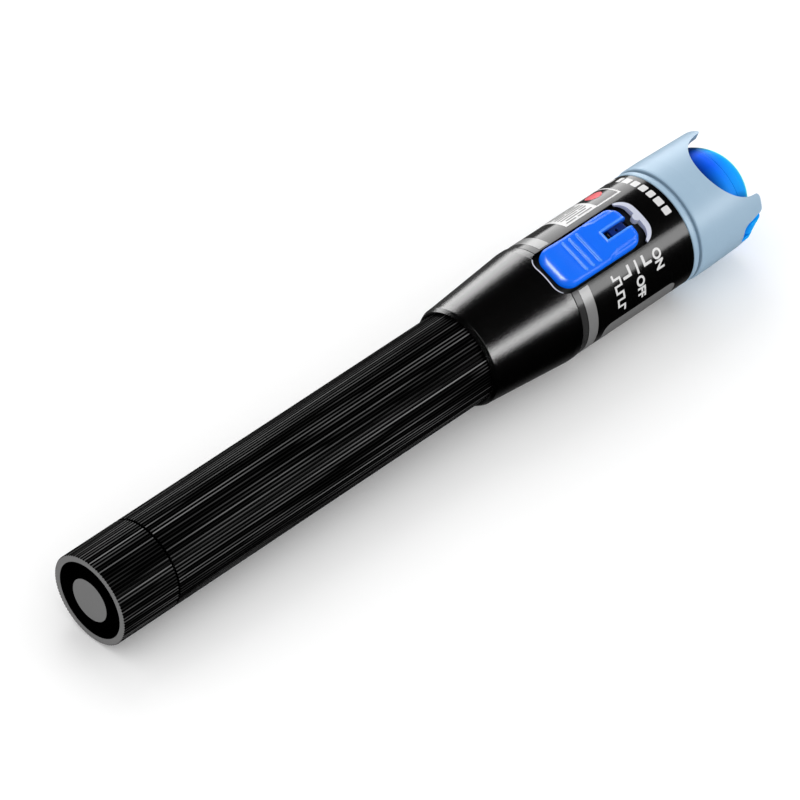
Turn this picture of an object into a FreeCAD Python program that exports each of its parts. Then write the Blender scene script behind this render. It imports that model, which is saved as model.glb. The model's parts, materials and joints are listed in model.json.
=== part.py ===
import FreeCAD, Part
import math
import os
import Sketcher
from FreeCAD import Placement, Rotation, Vector

# Pen type visual fault locator. +Z runs along the pen from the tail rim (z = 0) to the dust cap.
# +X is the side of the slide switch and of the front scallop, +Y is the side of the cap hinge.

os.makedirs("parts", exist_ok=True)
doc = FreeCAD.newDocument("fault_locator")

# ---------------------------------------------------------------- driving dimensions, millimetres
SIZES = [
    # fluted barrel and tail cap
    ("barrel_radius", 9.85), ("flute_depth", 0.28), ("flute_count", 88), ("flute_mouth", 0.40), ("flute_root", 0.14),
    ("cap_length", 14.0), ("cap_joint_gap", 0.35), ("rim_inner_radius", 8.34), ("rim_edge", 0.12), ("boss_radius", 4.80),
    ("recess_depth", 3.2), ("cap_floor_top", 5.0), ("spigot_radius", 8.35), ("spigot_bore", 7.45), ("spigot_top", 21.5),
    ("ring_groove_low", 15.0), ("ring_groove_high", 16.7), ("ring_groove_radius", 7.75), ("tail_ring_mid", 15.85),
    ("tail_ring_radius", 8.22), ("tail_ring_section", 0.38),
    ("contact_radius", 6.8), ("contact_thick", 0.3),
    ("spring_radius", 4.6), ("spring_wire", 0.45), ("spring_low", 5.75), ("spring_height", 4.75), ("spring_pitch", 1.55),
    # battery tube
    ("tube_end", 113.0), ("tube_bore", 7.4), ("tube_mouth_radius", 8.65), ("tube_mouth_end", 22.6),
    ("flutes_end", 98.0), ("tube_neck_radius", 9.42), ("neck_groove_low", 103.0), ("neck_groove_high", 104.7),
    ("neck_groove_radius", 8.75), ("neck_ring_radius", 9.13), ("neck_ring_section", 0.34), ("neck_ring_mid", 103.85),
    # cells
    ("cell_radius", 7.1), ("cell_length", 50.5), ("cell_start", 11.0), ("nub_radius", 2.75), ("nub_height", 1.3),
    ("crimp_depth", 0.35), ("shoulder_height", 1.4), ("shoulder_radius", 6.4),
    # front housing
    ("housing_start", 97.3), ("housing_mouth_radius", 10.15), ("housing_mouth_end", 98.8), ("housing_back_radius", 10.5),
    ("housing_lip_radius", 10.92), ("housing_lip_height", 98.25), ("housing_cone_start", 99.6), ("housing_cone_start_radius", 11.0),
    ("housing_cone_end", 118.7), ("housing_cone_end_radius", 12.70), ("housing_land_end", 120.42), ("housing_tube_bore", 9.5),
    ("housing_step", 113.6), ("housing_bore", 11.15), ("housing_end", 152.2), ("label_bed_radius", 12.38),
    ("label_start", 120.62), ("label_end", 152.1), ("label_radius", 12.55),
    # switch slot and slider
    ("slot_middle", 130.17), ("slot_half_width", 5.45), ("slot_low", 117.6), ("slot_high", 144.9), ("slot_corner", 3.2),
    ("shield_inner", 10.25), ("shield_outer", 11.05), ("shield_half_width", 6.25), ("shield_low", 114.4), ("shield_high", 146.3),
    ("shield_window", 1.5), ("shield_window_half", 3.6),
    ("bezel_rail", 5.15), ("bezel_lip_end", 118.95), ("bezel_leg_start", 142.2), ("bezel_low_inner", 117.9), ("bezel_high_inner", 143.65),
    ("bezel_bump_radius", 0.85), ("bezel_bump_out", 0.95),
    ("slider_middle", 130.55), ("slider_half_width", 4.9), ("slider_half_length", 11.05), ("slider_base", 11.35), ("slider_top", 13.42),
    ("slider_corner", 2.5), ("slider_edge", 1.1), ("scoop_radius", 24.0), ("scoop_depth", 0.8), ("scoop_offset", -2.18),
    ("ridge_half_width", 3.7), ("ridge_pitch", 1.95), ("ridge_thick", 0.55), ("ridge_height", 0.42), ("ridge_first", -4.33),
    ("channel_half_width", 0.95), ("channel_start", 3.92), ("channel_depth", 0.75), ("window_length", 1.9), ("pin_hole", 0.42), ("nose_notch", 1.45),
    ("lever_half_width", 1.0), ("lever_half_length", 1.5), ("lever_low", 7.4), ("lever_high", 12.0),
    ("switch_low", 5.3), ("switch_high", 8.6), ("switch_half_width", 3.4), ("switch_half_length", 6.4),
    # board and carriers
    ("board_low", 4.3), ("board_high", 5.3), ("board_half_width", 8.0), ("board_start", 116.5), ("board_end", 146.0),
    ("carrier_start", 115.2), ("carrier_end", 146.8), ("carrier_radius", 11.0), ("upper_carrier_radius", 10.1),
    ("upper_window_half_width", 4.6), ("upper_window_low", 122.2), ("upper_window_high", 138.5),
    ("cavity_half_width", 7.0), ("cavity_low", 117.0), ("cavity_high", 127.4), ("cavity_floor", -5.5), ("laser_channel", 4.1),
    ("screw_offset", 6.2), ("screw_low", 118.8), ("screw_high", 143.9), ("screw_radius", 0.95), ("screw_head_radius", 1.7),
    ("screw_head_height", 1.2), ("screw_seat", 6.6), ("screw_tip", -1.5), ("screw_hole", 1.1), ("screw_pilot", 0.95),
    # contacts
    ("plus_contact_radius", 5.2), ("plus_contact_start", 112.05), ("plus_contact_end", 113.0), ("plus_bump_radius", 2.2),
    ("insulator_radius", 9.0), ("insulator_start", 113.1), ("insulator_end", 115.0),
    # laser
    ("laser_start", 128.5), ("laser_end", 148.0), ("laser_radius", 4.0), ("laser_back_bore", 2.9), ("laser_front_bore", 2.45),
    ("diode_flange_radius", 2.8), ("diode_start", 130.0), ("diode_flange", 1.2), ("diode_can_radius", 2.3), ("diode_can", 3.4),
    ("diode_lead_radius", 0.23), ("diode_lead_offset", 1.27), ("diode_lead_start", 124.5),
    ("lens_radius", 2.4), ("lens_start", 138.0), ("lens_end", 140.2), ("lens_ring_inner", 1.6), ("lens_ring_end", 141.8),
    # ferrule adapter
    ("adapter_start", 148.2), ("adapter_flange_radius", 6.4), ("adapter_flange_start", 150.5), ("adapter_flange_end", 152.2),
    ("adapter_body_radius", 4.6), ("adapter_body_end", 160.6), ("adapter_nose_radius", 3.1), ("adapter_end", 166.2),
    ("adapter_sleeve_bore", 1.64), ("adapter_light_bore", 1.0), ("sleeve_start", 154.6), ("sleeve_end", 165.6),
    ("sleeve_radius", 1.6), ("port_radius", 1.25),
    ("nut_flats", 11.0), ("nut_start", 154.45), ("nut_end", 156.9), ("nut_bore", 4.65),
    # crown collar
    ("collar_sleeve_start", 147.4), ("collar_sleeve_inner", 9.6), ("collar_sleeve_outer", 11.02), ("collar_start", 152.3),
    ("collar_ring_radius", 12.6), ("collar_ring_end", 153.62), ("collar_groove_radius", 12.02), ("collar_groove_end", 154.22),
    ("collar_body_start", 154.36), ("collar_shoulder", 155.0), ("collar_body_radius", 12.84), ("collar_widest", 158.6),
    ("collar_top", 172.0), ("collar_top_radius", 12.44), ("collar_bore", 11.0), ("collar_floor_top", 154.4), ("collar_floor_hole", 4.75),
    ("collar_ring_groove_low", 148.6), ("collar_ring_groove_high", 150.1), ("collar_ring_groove_radius", 10.15),
    ("collar_ring_mid", 149.35), ("collar_oring_radius", 10.62), ("collar_oring_section", 0.4),
    ("scallop_radius", 8.65), ("prong_round", 1.0), ("edge_round", 0.32),
    ("notch_near", 8.0), ("notch_near_half", 0.1), ("notch_far", 14.0), ("notch_far_half", 3.95), ("notch_bottom", 167.0), ("notch_corner", 2.1), ("notch_lip", 1.2),
    # front insert, dust cap and hinge
    ("ball_radius", 10.93), ("ball_middle", 165.0), ("insert_start", 154.5), ("insert_end", 168.0), ("insert_bore", 7.9), 
    ("hinge_out", 10.4), ("hinge_height", 171.0), ("ear_radius", 1.3), ("ear_inner", 2.1), ("ear_outer", 3.6), ("pin_radius", 0.6),
    ("lid_start", 168.3), ("lid_end", 175.0), ("lid_inner_radius", 9.6), ("lid_gap_half", 4.1), ("lid_gap_in", 8.75), ("lid_gap_top", 172.6), ("lid_inner_top", 173.4), ("lid_flat_radius", 3.6),
    ("lid_flat_edge_radius", 5.0), ("knuckle_radius", 1.25), ("knuckle_half_width", 1.8), ("knuckle_bore", 0.66),
    ("seal_start", 166.5), ("seal_radius", 2.6), ("seal_head_radius", 4.2),
]
sheet = doc.addObject("Spreadsheet::Sheet", "Dims")
for row, (word, value) in enumerate(SIZES, 1):
    sheet.set("A%d" % row, word)
    sheet.set("B%d" % row, repr(value))
    sheet.setAlias("B%d" % row, word)
doc.recompute()
VALUES = dict(SIZES)


class Size:
    """A length with its value and the sheet expression that drives it."""

    def __init__(self, value, text):
        self.value, self.text = float(value), text

    def _join(self, other, sign, value):
        text = other.text if isinstance(other, Size) else repr(float(other))
        return Size(value, "(%s %s %s)" % (self.text, sign, text))

    def __add__(self, other):
        return self._join(other, "+", self.value + num(other))

    def __sub__(self, other):
        return self._join(other, "-", self.value - num(other))

    def __mul__(self, other):
        return self._join(other, "*", self.value * num(other))

    def __truediv__(self, other):
        return self._join(other, "/", self.value / num(other))

    def __neg__(self):
        return Size(-self.value, "(-1 * %s)" % self.text)

    def root(self):
        return Size(math.sqrt(self.value), "sqrt(%s)" % self.text)


def num(q):
    return q.value if isinstance(q, Size) else float(q)


def d(word):
    return Size(VALUES[word], "Dims.%s" % word)


def bind(obj, prop, q):
    """Set a property from a size and tie it to the sheet."""
    if isinstance(q, Size):
        obj.setExpression(prop, q.text)


# ---------------------------------------------------------------- building helpers
PIECES = []


def new_body(label):
    body = doc.addObject("PartDesign::Body", label)
    body.Label = label
    body.Placement = Placement(Vector(0, 0, 0), Rotation())
    PIECES.append(body)
    return body


def plane(body, role):
    return [f for f in body.Origin.OriginFeatures if f.Role == role][0]


def new_sketch(body, role, offset=None):
    sk = body.newObject("Sketcher::SketchObject", body.Name + "_sketch")
    sk.AttachmentSupport = [(plane(body, role), "")]
    sk.MapMode = "FlatFace"
    if offset is not None:
        sk.AttachmentOffset = Placement(Vector(0, 0, num(offset)), Rotation())
        bind(sk, "AttachmentOffset.Base.z", offset)
    return sk


def hold(sk, geo, pos, x, y):
    """Fix a sketch point at (x, y) from the origin, each bound to the sheet where it is a Size."""
    for q, kind, axis in ((x, "DistanceX", -2), (y, "DistanceY", -1)):
        value = num(q)
        if abs(value) < 1e-9:
            sk.addConstraint(Sketcher.Constraint("PointOnObject", geo, pos, axis))
        elif value > 0:
            i = sk.addConstraint(Sketcher.Constraint(kind, -1, 1, geo, pos, value))
            bind(sk, "Constraints[%d]" % i, q)
        else:
            i = sk.addConstraint(Sketcher.Constraint(kind, geo, pos, -1, 1, -value))
            bind(sk, "Constraints[%d]" % i, -q if isinstance(q, Size) else q)


def polygon(sk, points):
    """A closed outline of straight edges. A point may carry a third entry, (centre_x, centre_y), when the edge that
    leaves it is an arc about that centre to the next point."""
    n, base = len(points), sk.GeometryCount
    for i in range(n):
        a, b = points[i], points[(i + 1) % n]
        ax, ay, bx, by = num(a[0]), num(a[1]), num(b[0]), num(b[1])
        if len(a) > 2:
            cx, cy = num(a[2][0]), num(a[2][1])
            t0, t1 = math.atan2(ay - cy, ax - cx), math.atan2(by - cy, bx - cx)
            ccw = a[2][2]
            circle = Part.Circle(Vector(cx, cy, 0), Vector(0, 0, 1), math.hypot(ax - cx, ay - cy))
            sk.addGeometry(Part.ArcOfCircle(circle, t0, t1) if ccw else Part.ArcOfCircle(circle, t1, t0), False)
        else:
            sk.addGeometry(Part.LineSegment(Vector(ax, ay, 0), Vector(bx, by, 0)), False)

    def ends(i):
        p = points[i]
        return (2, 1) if len(p) > 2 and not p[2][2] else (1, 2)

    for i in range(n):
        j = (i + 1) % n
        sk.addConstraint(Sketcher.Constraint("Coincident", base + i, ends(i)[1], base + j, ends(j)[0]))
    for i, p in enumerate(points):
        if len(p) > 2:
            # the arc's ends leave it one freedom, taken by its centre's place along the axis that fixes it
            q = points[(i + 1) % n]
            level = abs(num(p[0]) - num(q[0])) > abs(num(p[1]) - num(q[1]))
            c, kind, axis = (p[2][1], "DistanceY", -1) if level else (p[2][0], "DistanceX", -2)
            if abs(num(c)) < 1e-9:
                sk.addConstraint(Sketcher.Constraint("PointOnObject", base + i, 3, axis))
            elif num(c) > 0:
                k = sk.addConstraint(Sketcher.Constraint(kind, -1, 1, base + i, 3, num(c)))
                bind(sk, "Constraints[%d]" % k, c)
            else:
                k = sk.addConstraint(Sketcher.Constraint(kind, base + i, 3, -1, 1, -num(c)))
                bind(sk, "Constraints[%d]" % k, -c if isinstance(c, Size) else c)
        hold(sk, base + i, ends(i)[0], p[0], p[1])
    return base


def circle(sk, x, y, r):
    g = sk.addGeometry(Part.Circle(Vector(num(x), num(y), 0), Vector(0, 0, 1), num(r)), False)
    i = sk.addConstraint(Sketcher.Constraint("Radius", g, num(r)))
    bind(sk, "Constraints[%d]" % i, r)
    hold(sk, g, 3, x, y)
    return g


def box_points(x0, x1, y0, y1):
    return [(x0, y0), (x1, y0), (x1, y1), (x0, y1)]


def rounded_points(x0, x1, y0, y1, r):
    """A rectangle with four round corners, anticlockwise."""
    return [(x0 + r, y0), (x1 - r, y0, (x1 - r, y0 + r, True)), (x1, y0 + r), (x1, y1 - r, (x1 - r, y1 - r, True)),
            (x1 - r, y1), (x0 + r, y1, (x0 + r, y1 - r, True)), (x0, y1 - r), (x0, y0 + r, (x0 + r, y0 + r, True))]


def revolve(body, points, cut=False):
    """Turn an outline in the XZ plane, given as (radius, height), about the pen's axis."""
    sk = new_sketch(body, "XZ_Plane")
    polygon(sk, points)
    f = body.newObject("PartDesign::Groove" if cut else "PartDesign::Revolution", body.Name + "_turned")
    f.Profile = sk
    f.ReferenceAxis = (sk, ["V_Axis"])
    f.Angle = 360.0
    doc.recompute()
    return f


def extrude(body, sk, length, cut=False, both=False, reverse=False, through=False):
    f = body.newObject("PartDesign::Pocket" if cut else "PartDesign::Pad", body.Name + ("_pocket" if cut else "_pad"))
    f.Profile = sk
    if through:
        f.Type = "ThroughAll"
    else:
        f.Type = "Length"
        f.Length = num(length)
        bind(f, "Length", length)
    if both:
        f.SideType = "Symmetric"
    f.Reversed = reverse
    before = body.Shape.Volume if cut else 0.0
    doc.recompute()
    if cut and not body.Shape.Volume < before - 1e-6:
        raise RuntimeError("a pocket in %s cuts nothing" % body.Label)
    return f


def pick_edges(shape, test):
    names = []
    for i, e in enumerate(shape.Edges, 1):
        mid = e.valueAt((e.FirstParameter + e.LastParameter) / 2.0)
        a, b = e.valueAt(e.FirstParameter), e.valueAt(e.LastParameter)
        if test(mid, a, b):
            names.append("Edge%d" % i)
    return names


def dress(body, kind, size, test):
    base = body.Tip
    names = pick_edges(base.Shape, test)
    if not names:
        raise RuntimeError("no edge to dress on %s" % body.Label)
    f = body.newObject("PartDesign::" + kind, body.Name + "_" + kind.lower())
    f.Base = (base, names)
    prop = "Radius" if kind == "Fillet" else "Size"
    setattr(f, prop, num(size))
    bind(f, prop, size)
    doc.recompute()
    if "Invalid" in f.State or "Error" in f.State or not f.Shape.isValid():
        raise RuntimeError("%s on %s failed" % (kind, body.Label))
    return f


def flutes(body, start, length):
    """Cut one trapezoid flute in the crest circle and repeat it round the axis."""
    sk = new_sketch(body, "XY_Plane", start)
    r, h = d("barrel_radius"), d("flute_depth")
    polygon(sk, [(r - h, -d("flute_root") / 2.0), (r + 0.3, -d("flute_mouth") / 2.0 - 0.1),
                 (r + 0.3, d("flute_mouth") / 2.0 + 0.1), (r - h, d("flute_root") / 2.0)])
    one = extrude(body, sk, length, cut=True, reverse=True)
    many = body.newObject("PartDesign::PolarPattern", body.Name + "_flutes")
    many.Originals = [one]
    many.Axis = (sk, ["N_Axis"])
    many.Angle = 360.0
    many.Occurrences = int(VALUES["flute_count"])
    many.setExpression("Occurrences", "Dims.flute_count")
    body.Tip = many
    doc.recompute()
    return many


def cylinder(label, radius, height, base=(0, 0, 0), turn=None):
    c = doc.addObject("Part::Cylinder", label)
    c.Label = label
    c.Radius, c.Height = num(radius), num(height)
    bind(c, "Radius", radius)
    bind(c, "Height", height)
    c.Placement = Placement(Vector(*[num(v) for v in base]), turn or Rotation())
    for axis, q in zip("xyz", base):
        bind(c, "Placement.Base." + axis, q)
    return c


def block(label, lengths, base):
    b = doc.addObject("Part::Box", label)
    b.Label = label
    for prop, q in zip(("Length", "Width", "Height"), lengths):
        setattr(b, prop, num(q))
        bind(b, prop, q)
    b.Placement = Placement(Vector(*[num(v) for v in base]), Rotation())
    for axis, q in zip("xyz", base):
        bind(b, "Placement.Base." + axis, q)
    return b


def torus(label, ring, section, height):
    t = doc.addObject("Part::Torus", label)
    t.Label = label
    t.Radius1, t.Radius2 = num(ring), num(section)
    bind(t, "Radius1", ring)
    bind(t, "Radius2", section)
    t.Placement = Placement(Vector(0, 0, num(height)), Rotation())
    bind(t, "Placement.Base.z", height)
    PIECES.append(t)
    return t


def fuse(label, parts):
    f = doc.addObject("Part::MultiFuse", label)
    f.Label = label
    f.Shapes = parts
    return f


def cut(label, base, tool):
    f = doc.addObject("Part::Cut", label)
    f.Label = label
    f.Base, f.Tool = base, tool
    return f


# ---------------------------------------------------------------- tail cap
cap = new_body("tail_cap")
R, e = d("barrel_radius"), d("rim_edge")
revolve(cap, [
    (0, 0), (d("boss_radius") - e, 0), (d("boss_radius"), e), (d("boss_radius"), d("recess_depth")),
    (d("rim_inner_radius"), d("recess_depth")), (d("rim_inner_radius"), e), (d("rim_inner_radius") + e, 0), (R - e, 0), (R, e),
    (R, d("cap_length") - e), (R - e, d("cap_length")), (d("spigot_radius"), d("cap_length")),
    (d("spigot_radius"), d("ring_groove_low")), (d("ring_groove_radius"), d("ring_groove_low")),
    (d("ring_groove_radius"), d("ring_groove_high")), (d("spigot_radius"), d("ring_groove_high")),
    (d("spigot_radius"), d("spigot_top") - 0.4), (d("spigot_radius") - 0.4, d("spigot_top")), (d("spigot_bore"), d("spigot_top")),
    (d("spigot_bore"), d("cap_floor_top")), (0, d("cap_floor_top")),
])
flutes(cap, Size(0, "(0 * Dims.cap_length)") - 0.5, d("cap_length") + 0.5)

contact = cylinder("tail_contact", d("contact_radius"), d("contact_thick"), (0, 0, d("cap_floor_top")))
PIECES.append(contact)
torus("tail_oring", d("tail_ring_radius"), d("tail_ring_section"), d("tail_ring_mid"))

# the spring is a helix of eight-sided wire
coil_r, wire_r = float(sheet.spring_radius), float(sheet.spring_wire)
coil = Part.makeHelix(float(sheet.spring_pitch), float(sheet.spring_height), coil_r)
corners = [Vector(coil_r + wire_r * math.cos(math.pi * (2 * n + 1) / 8.0), 0, wire_r * math.sin(math.pi * (2 * n + 1) / 8.0)) for n in range(8)]
spring = doc.addObject("Part::Feature", "tail_spring")
spring.Label = "tail_spring"
spring.Shape = coil.makePipeShell([Part.makePolygon(corners + [corners[0]])], True, True)
spring.Placement = Placement(Vector(0, 0, float(sheet.spring_low)), Rotation())
PIECES.append(spring)

# ---------------------------------------------------------------- battery tube
tube = new_body("battery_tube")
z0 = d("cap_length") + d("cap_joint_gap")
revolve(tube, [
    (d("tube_mouth_radius"), z0), (R - e, z0), (R, z0 + e), (R, d("flutes_end")), (d("tube_neck_radius"), d("flutes_end") + 0.3),
    (d("tube_neck_radius"), d("neck_groove_low")), (d("neck_groove_radius"), d("neck_groove_low")),
    (d("neck_groove_radius"), d("neck_groove_high")), (d("tube_neck_radius"), d("neck_groove_high")),
    (d("tube_neck_radius"), d("tube_end") - 0.4), (d("tube_neck_radius") - 0.4, d("tube_end")), (d("tube_bore"), d("tube_end")),
    (d("tube_bore"), d("tube_mouth_end")), (d("tube_mouth_radius"), d("tube_mouth_end") - 0.8),
])
flutes(tube, d("cap_length"), d("flutes_end") - d("cap_length") + 0.6)
torus("tube_oring", d("neck_ring_radius"), d("neck_ring_section"), d("neck_ring_mid"))

# ---------------------------------------------------------------- cells
for label, start in (("battery_rear", d("cell_start")), ("battery_front", d("cell_start") + d("cell_length"))):
    cell = new_body(label)
    top = start + d("cell_length")
    nub = top - d("nub_height")
    r = d("cell_radius")
    revolve(cell, [
        (0, start), (r - 1.6, start), (r - 1.4, start + d("crimp_depth")), (r - 0.8, start + d("crimp_depth")),
        (r - 0.5, start), (r - 0.25, start), (r, start + 0.35), (r, nub - 1.2), (d("shoulder_radius") + 0.35, nub - 0.6),
        (d("shoulder_radius"), nub - 0.15), (d("shoulder_radius") - 0.7, nub), (d("nub_radius"), nub),
        (d("nub_radius") - 0.15, top - 0.3), (d("nub_radius") - 0.5, top), (0, top),
    ])

plus = new_body("positive_contact")
revolve(plus, [
    (0, d("plus_contact_start")), (d("plus_bump_radius"), d("plus_contact_start")),
    (d("plus_bump_radius") + 0.6, d("plus_contact_end") - 0.35), (d("plus_contact_radius"), d("plus_contact_end") - 0.35),
    (d("plus_contact_radius"), d("plus_contact_end")), (0, d("plus_contact_end")),
])
PIECES.append(cylinder("contact_insulator", d("insulator_radius"), d("insulator_end") - d("insulator_start"), (0, 0, d("insulator_start"))))

# ---------------------------------------------------------------- front housing
housing = new_body("front_housing")
revolve(housing, [
    (d("housing_mouth_radius"), d("housing_start")), (d("housing_back_radius"), d("housing_start")),
    (d("housing_lip_radius"), d("housing_lip_height")), (d("housing_cone_start_radius"), d("housing_cone_start")),
    (d("housing_cone_end_radius"), d("housing_cone_end")), (d("housing_cone_end_radius"), d("housing_land_end") - 0.12),
    (d("housing_cone_end_radius") - 0.12, d("housing_land_end")), (d("label_bed_radius"), d("housing_land_end")),
    (d("label_bed_radius"), d("housing_end")), (d("housing_bore"), d("housing_end")), (d("housing_bore"), d("housing_step")),
    (d("housing_tube_bore"), d("housing_step")), (d("housing_tube_bore"), d("housing_mouth_end")),
    (d("housing_mouth_radius"), d("housing_mouth_end")),
])
dress(housing, "Fillet", Size(0.22, "(Dims.edge_round - 0.1)"),
      lambda m, a, b: abs(m.z - VALUES["housing_lip_height"]) < 0.01 and math.hypot(m.x, m.y) > 10.8)


def slot_outline(body, half, low, high, corner=None, base=None):
    sk = new_sketch(body, "YZ_Plane", base)
    polygon(sk, rounded_points(-half, half, low, high, corner) if corner else box_points(-half, half, low, high))
    return sk


sk = slot_outline(housing, d("slot_half_width"), d("slot_low"), d("slot_high"), d("slot_corner"))
extrude(housing, sk, d("label_radius") + 1.0, cut=True, reverse=True)

# ---------------------------------------------------------------- label film, a thin sleeve in the housing's shallow bed
label = new_body("label_wrap")
revolve(label, [
    (d("label_bed_radius"), d("label_start")), (d("label_radius"), d("label_start")),
    (d("label_radius"), d("label_end")), (d("label_bed_radius"), d("label_end")),
])
sk = slot_outline(label, d("slot_half_width") + 0.05, d("slot_low") - 4.0, d("slot_high") + 0.05, d("slot_corner"))
extrude(label, sk, d("label_radius") + 1.0, cut=True, reverse=True)

# ---------------------------------------------------------------- dark shield under the slot
shield = new_body("slot_shield")
sk = new_sketch(shield, "XY_Plane", d("shield_low"))
ro, ri, hw = d("shield_outer"), d("shield_inner"), d("shield_half_width")
xo, xi = (ro * ro - hw * hw).root(), (ri * ri - hw * hw).root()
g = sk.addGeometry(Part.ArcOfCircle(Part.Circle(Vector(0, 0, 0), Vector(0, 0, 1), num(ro)), -math.asin(num(hw) / num(ro)), math.asin(num(hw) / num(ro))), False)
k = sk.addGeometry(Part.ArcOfCircle(Part.Circle(Vector(0, 0, 0), Vector(0, 0, 1), num(ri)), -math.asin(num(hw) / num(ri)), math.asin(num(hw) / num(ri))), False)
p = sk.addGeometry(Part.LineSegment(Vector(num(xi), -num(hw), 0), Vector(num(xo), -num(hw), 0)), False)
q = sk.addGeometry(Part.LineSegment(Vector(num(xi), num(hw), 0), Vector(num(xo), num(hw), 0)), False)
for c in (("Coincident", p, 1, k, 1), ("Coincident", p, 2, g, 1), ("Coincident", q, 1, k, 2), ("Coincident", q, 2, g, 2),
          ("Coincident", g, 3, -1, 1), ("Coincident", k, 3, -1, 1), ("Horizontal", p), ("Horizontal", q)):
    sk.addConstraint(Sketcher.Constraint(*c))
for geo, r in ((g, ro), (k, ri)):
    i = sk.addConstraint(Sketcher.Constraint("Radius", geo, num(r)))
    bind(sk, "Constraints[%d]" % i, r)
i = sk.addConstraint(Sketcher.Constraint("DistanceY", p, 1, -1, 1, num(hw)))
bind(sk, "Constraints[%d]" % i, hw)
i = sk.addConstraint(Sketcher.Constraint("DistanceY", -1, 1, q, 1, num(hw)))
bind(sk, "Constraints[%d]" % i, hw)
extrude(shield, sk, d("shield_high") - d("shield_low"))
sk = slot_outline(shield, d("shield_window"), d("slot_middle") - d("shield_window_half"), d("slot_middle") + d("shield_window_half"))
extrude(shield, sk, d("shield_outer") + 1.0, cut=True, reverse=True)

# ---------------------------------------------------------------- slot bezel: broad crescent in front, thin lip behind
# the bezel is the slot's plug, cut to the label's surface, with the slider's well taken out
plug = new_body("bezel_blank")
PIECES.pop()
sk = slot_outline(plug, d("slot_half_width") - 0.03, d("slot_low") + 0.03, d("slot_high") - 0.03, d("slot_corner") - 0.03, base=d("shield_outer") + 0.02)
extrude(plug, sk, d("label_radius") - d("shield_outer") + 1.0)
well = new_body("bezel_well")
PIECES.pop()
sk = slot_outline(well, d("bezel_rail"), d("bezel_low_inner"), d("bezel_high_inner"), d("slot_corner") - 0.4, base=d("shield_outer") - 1.0)
extrude(well, sk, d("label_radius") - d("shield_outer") + 3.0)
# the crescent thins towards the rails, so the well's front end is a little rounder than the plug's
bump = cylinder("bezel_bump", d("bezel_bump_radius"), d("label_radius") - d("shield_outer") + 0.5,
                (d("shield_outer") + 0.02, 0, d("bezel_high_inner") + d("bezel_bump_radius") - d("bezel_bump_out")), Rotation(Vector(0, 1, 0), 90))
well_cut = cut("bezel_frame", plug, well)
with_bump = fuse("bezel_frame_bump", [well_cut, bump])
skin = cylinder("bezel_skin", d("label_radius"), d("slot_high") - d("slot_low") + 2.0, (0, 0, d("slot_low") - 1.0))
trimmed = doc.addObject("Part::Common", "bezel_trimmed")
trimmed.Base, trimmed.Tool = with_bump, skin
rail_box = block("bezel_side_opening", (d("label_radius"), d("slot_half_width") * 2.0 + 1.0, d("bezel_leg_start") - d("bezel_lip_end")),
                 (d("shield_outer") - 1.0, -d("slot_half_width") - 0.5, d("bezel_lip_end")))
bezel = cut("switch_bezel", trimmed, rail_box)
PIECES.append(bezel)

# ---------------------------------------------------------------- slider
slider = new_body("switch_slider")
mid, hl, hw = d("slider_middle"), d("slider_half_length"), d("slider_half_width")
sk = new_sketch(slider, "YZ_Plane", d("slider_base"))
polygon(sk, box_points(-hw, hw, mid - hl, mid + hl))
extrude(slider, sk, d("slider_top") - d("slider_base"))
dress(slider, "Fillet", d("slider_corner"),
      lambda m, a, b: abs(abs(m.y) - num(hw)) < 1e-3 and abs(abs(m.z - num(mid)) - num(hl)) < 1e-3 and abs(a.x - b.x) > 0.5)
dress(slider, "Fillet", d("slider_edge"), lambda m, a, b: abs(m.x - VALUES["slider_top"]) < 1e-3 and abs(a.x - b.x) < 1e-3)
# thumb scoop: a shallow cylinder across the top
sk = new_sketch(slider, "XZ_Plane")
circle(sk, d("slider_top") + d("scoop_radius") - d("scoop_depth"), mid + d("scoop_offset"), d("scoop_radius"))
extrude(slider, sk, hw * 4.0, cut=True, both=True)
# three ridges across the scoop
for n in range(3):
    sk = new_sketch(slider, "XZ_Plane")
    at = mid + d("ridge_first") + d("ridge_pitch") * float(n)
    low = d("slider_top") - d("scoop_depth") - 0.4
    rt = d("ridge_thick") / 2.0
    peak = low + 0.4 + d("ridge_height") + Size(0.02 * n, "%r" % (0.02 * n))
    polygon(sk, [(low, at - rt), (peak - 0.1, at - rt), (peak, at - rt / 2.0), (peak, at + rt / 2.0), (peak - 0.1, at + rt), (low, at + rt)])
    extrude(slider, sk, d("ridge_half_width") * 2.0, both=True)
# channel open at the front end, with a window and a small pin hole in its floor
sk = new_sketch(slider, "YZ_Plane", d("slider_top"))
cw = d("channel_half_width")
polygon(sk, box_points(-cw, cw, mid + d("channel_start"), mid + hl + 1.0))
extrude(slider, sk, d("channel_depth"), cut=True)
sk = new_sketch(slider, "YZ_Plane", d("slider_top"))
polygon(sk, box_points(-cw, cw, mid + d("channel_start"), mid + d("channel_start") + d("window_length")))
extrude(slider, sk, d("channel_depth") + 0.9, cut=True)
sk = new_sketch(slider, "YZ_Plane", d("slider_top"))
circle(sk, 0, mid + d("channel_start") + d("window_length") + 1.6, d("pin_hole"))
extrude(slider, sk, d("channel_depth") + 0.9, cut=True)
# notch in the front end, where the bezel's bump goes in at the end of the stroke
sk = new_sketch(slider, "YZ_Plane", d("slider_top"))
polygon(sk, box_points(-cw, cw, mid + hl - d("nose_notch"), mid + hl + 1.0))
extrude(slider, sk, d("slider_top") - d("slider_base") + 0.5, cut=True)
# socket for the switch lever
mid = d("slot_middle")
sk = new_sketch(slider, "YZ_Plane", d("slider_base"))
polygon(sk, box_points(-d("lever_half_width") - 0.1, d("lever_half_width") + 0.1, mid - d("lever_half_length") - 0.1, mid + d("lever_half_length") + 0.1))
extrude(slider, sk, d("lever_high") - d("slider_base"), cut=True, reverse=True)

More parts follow.
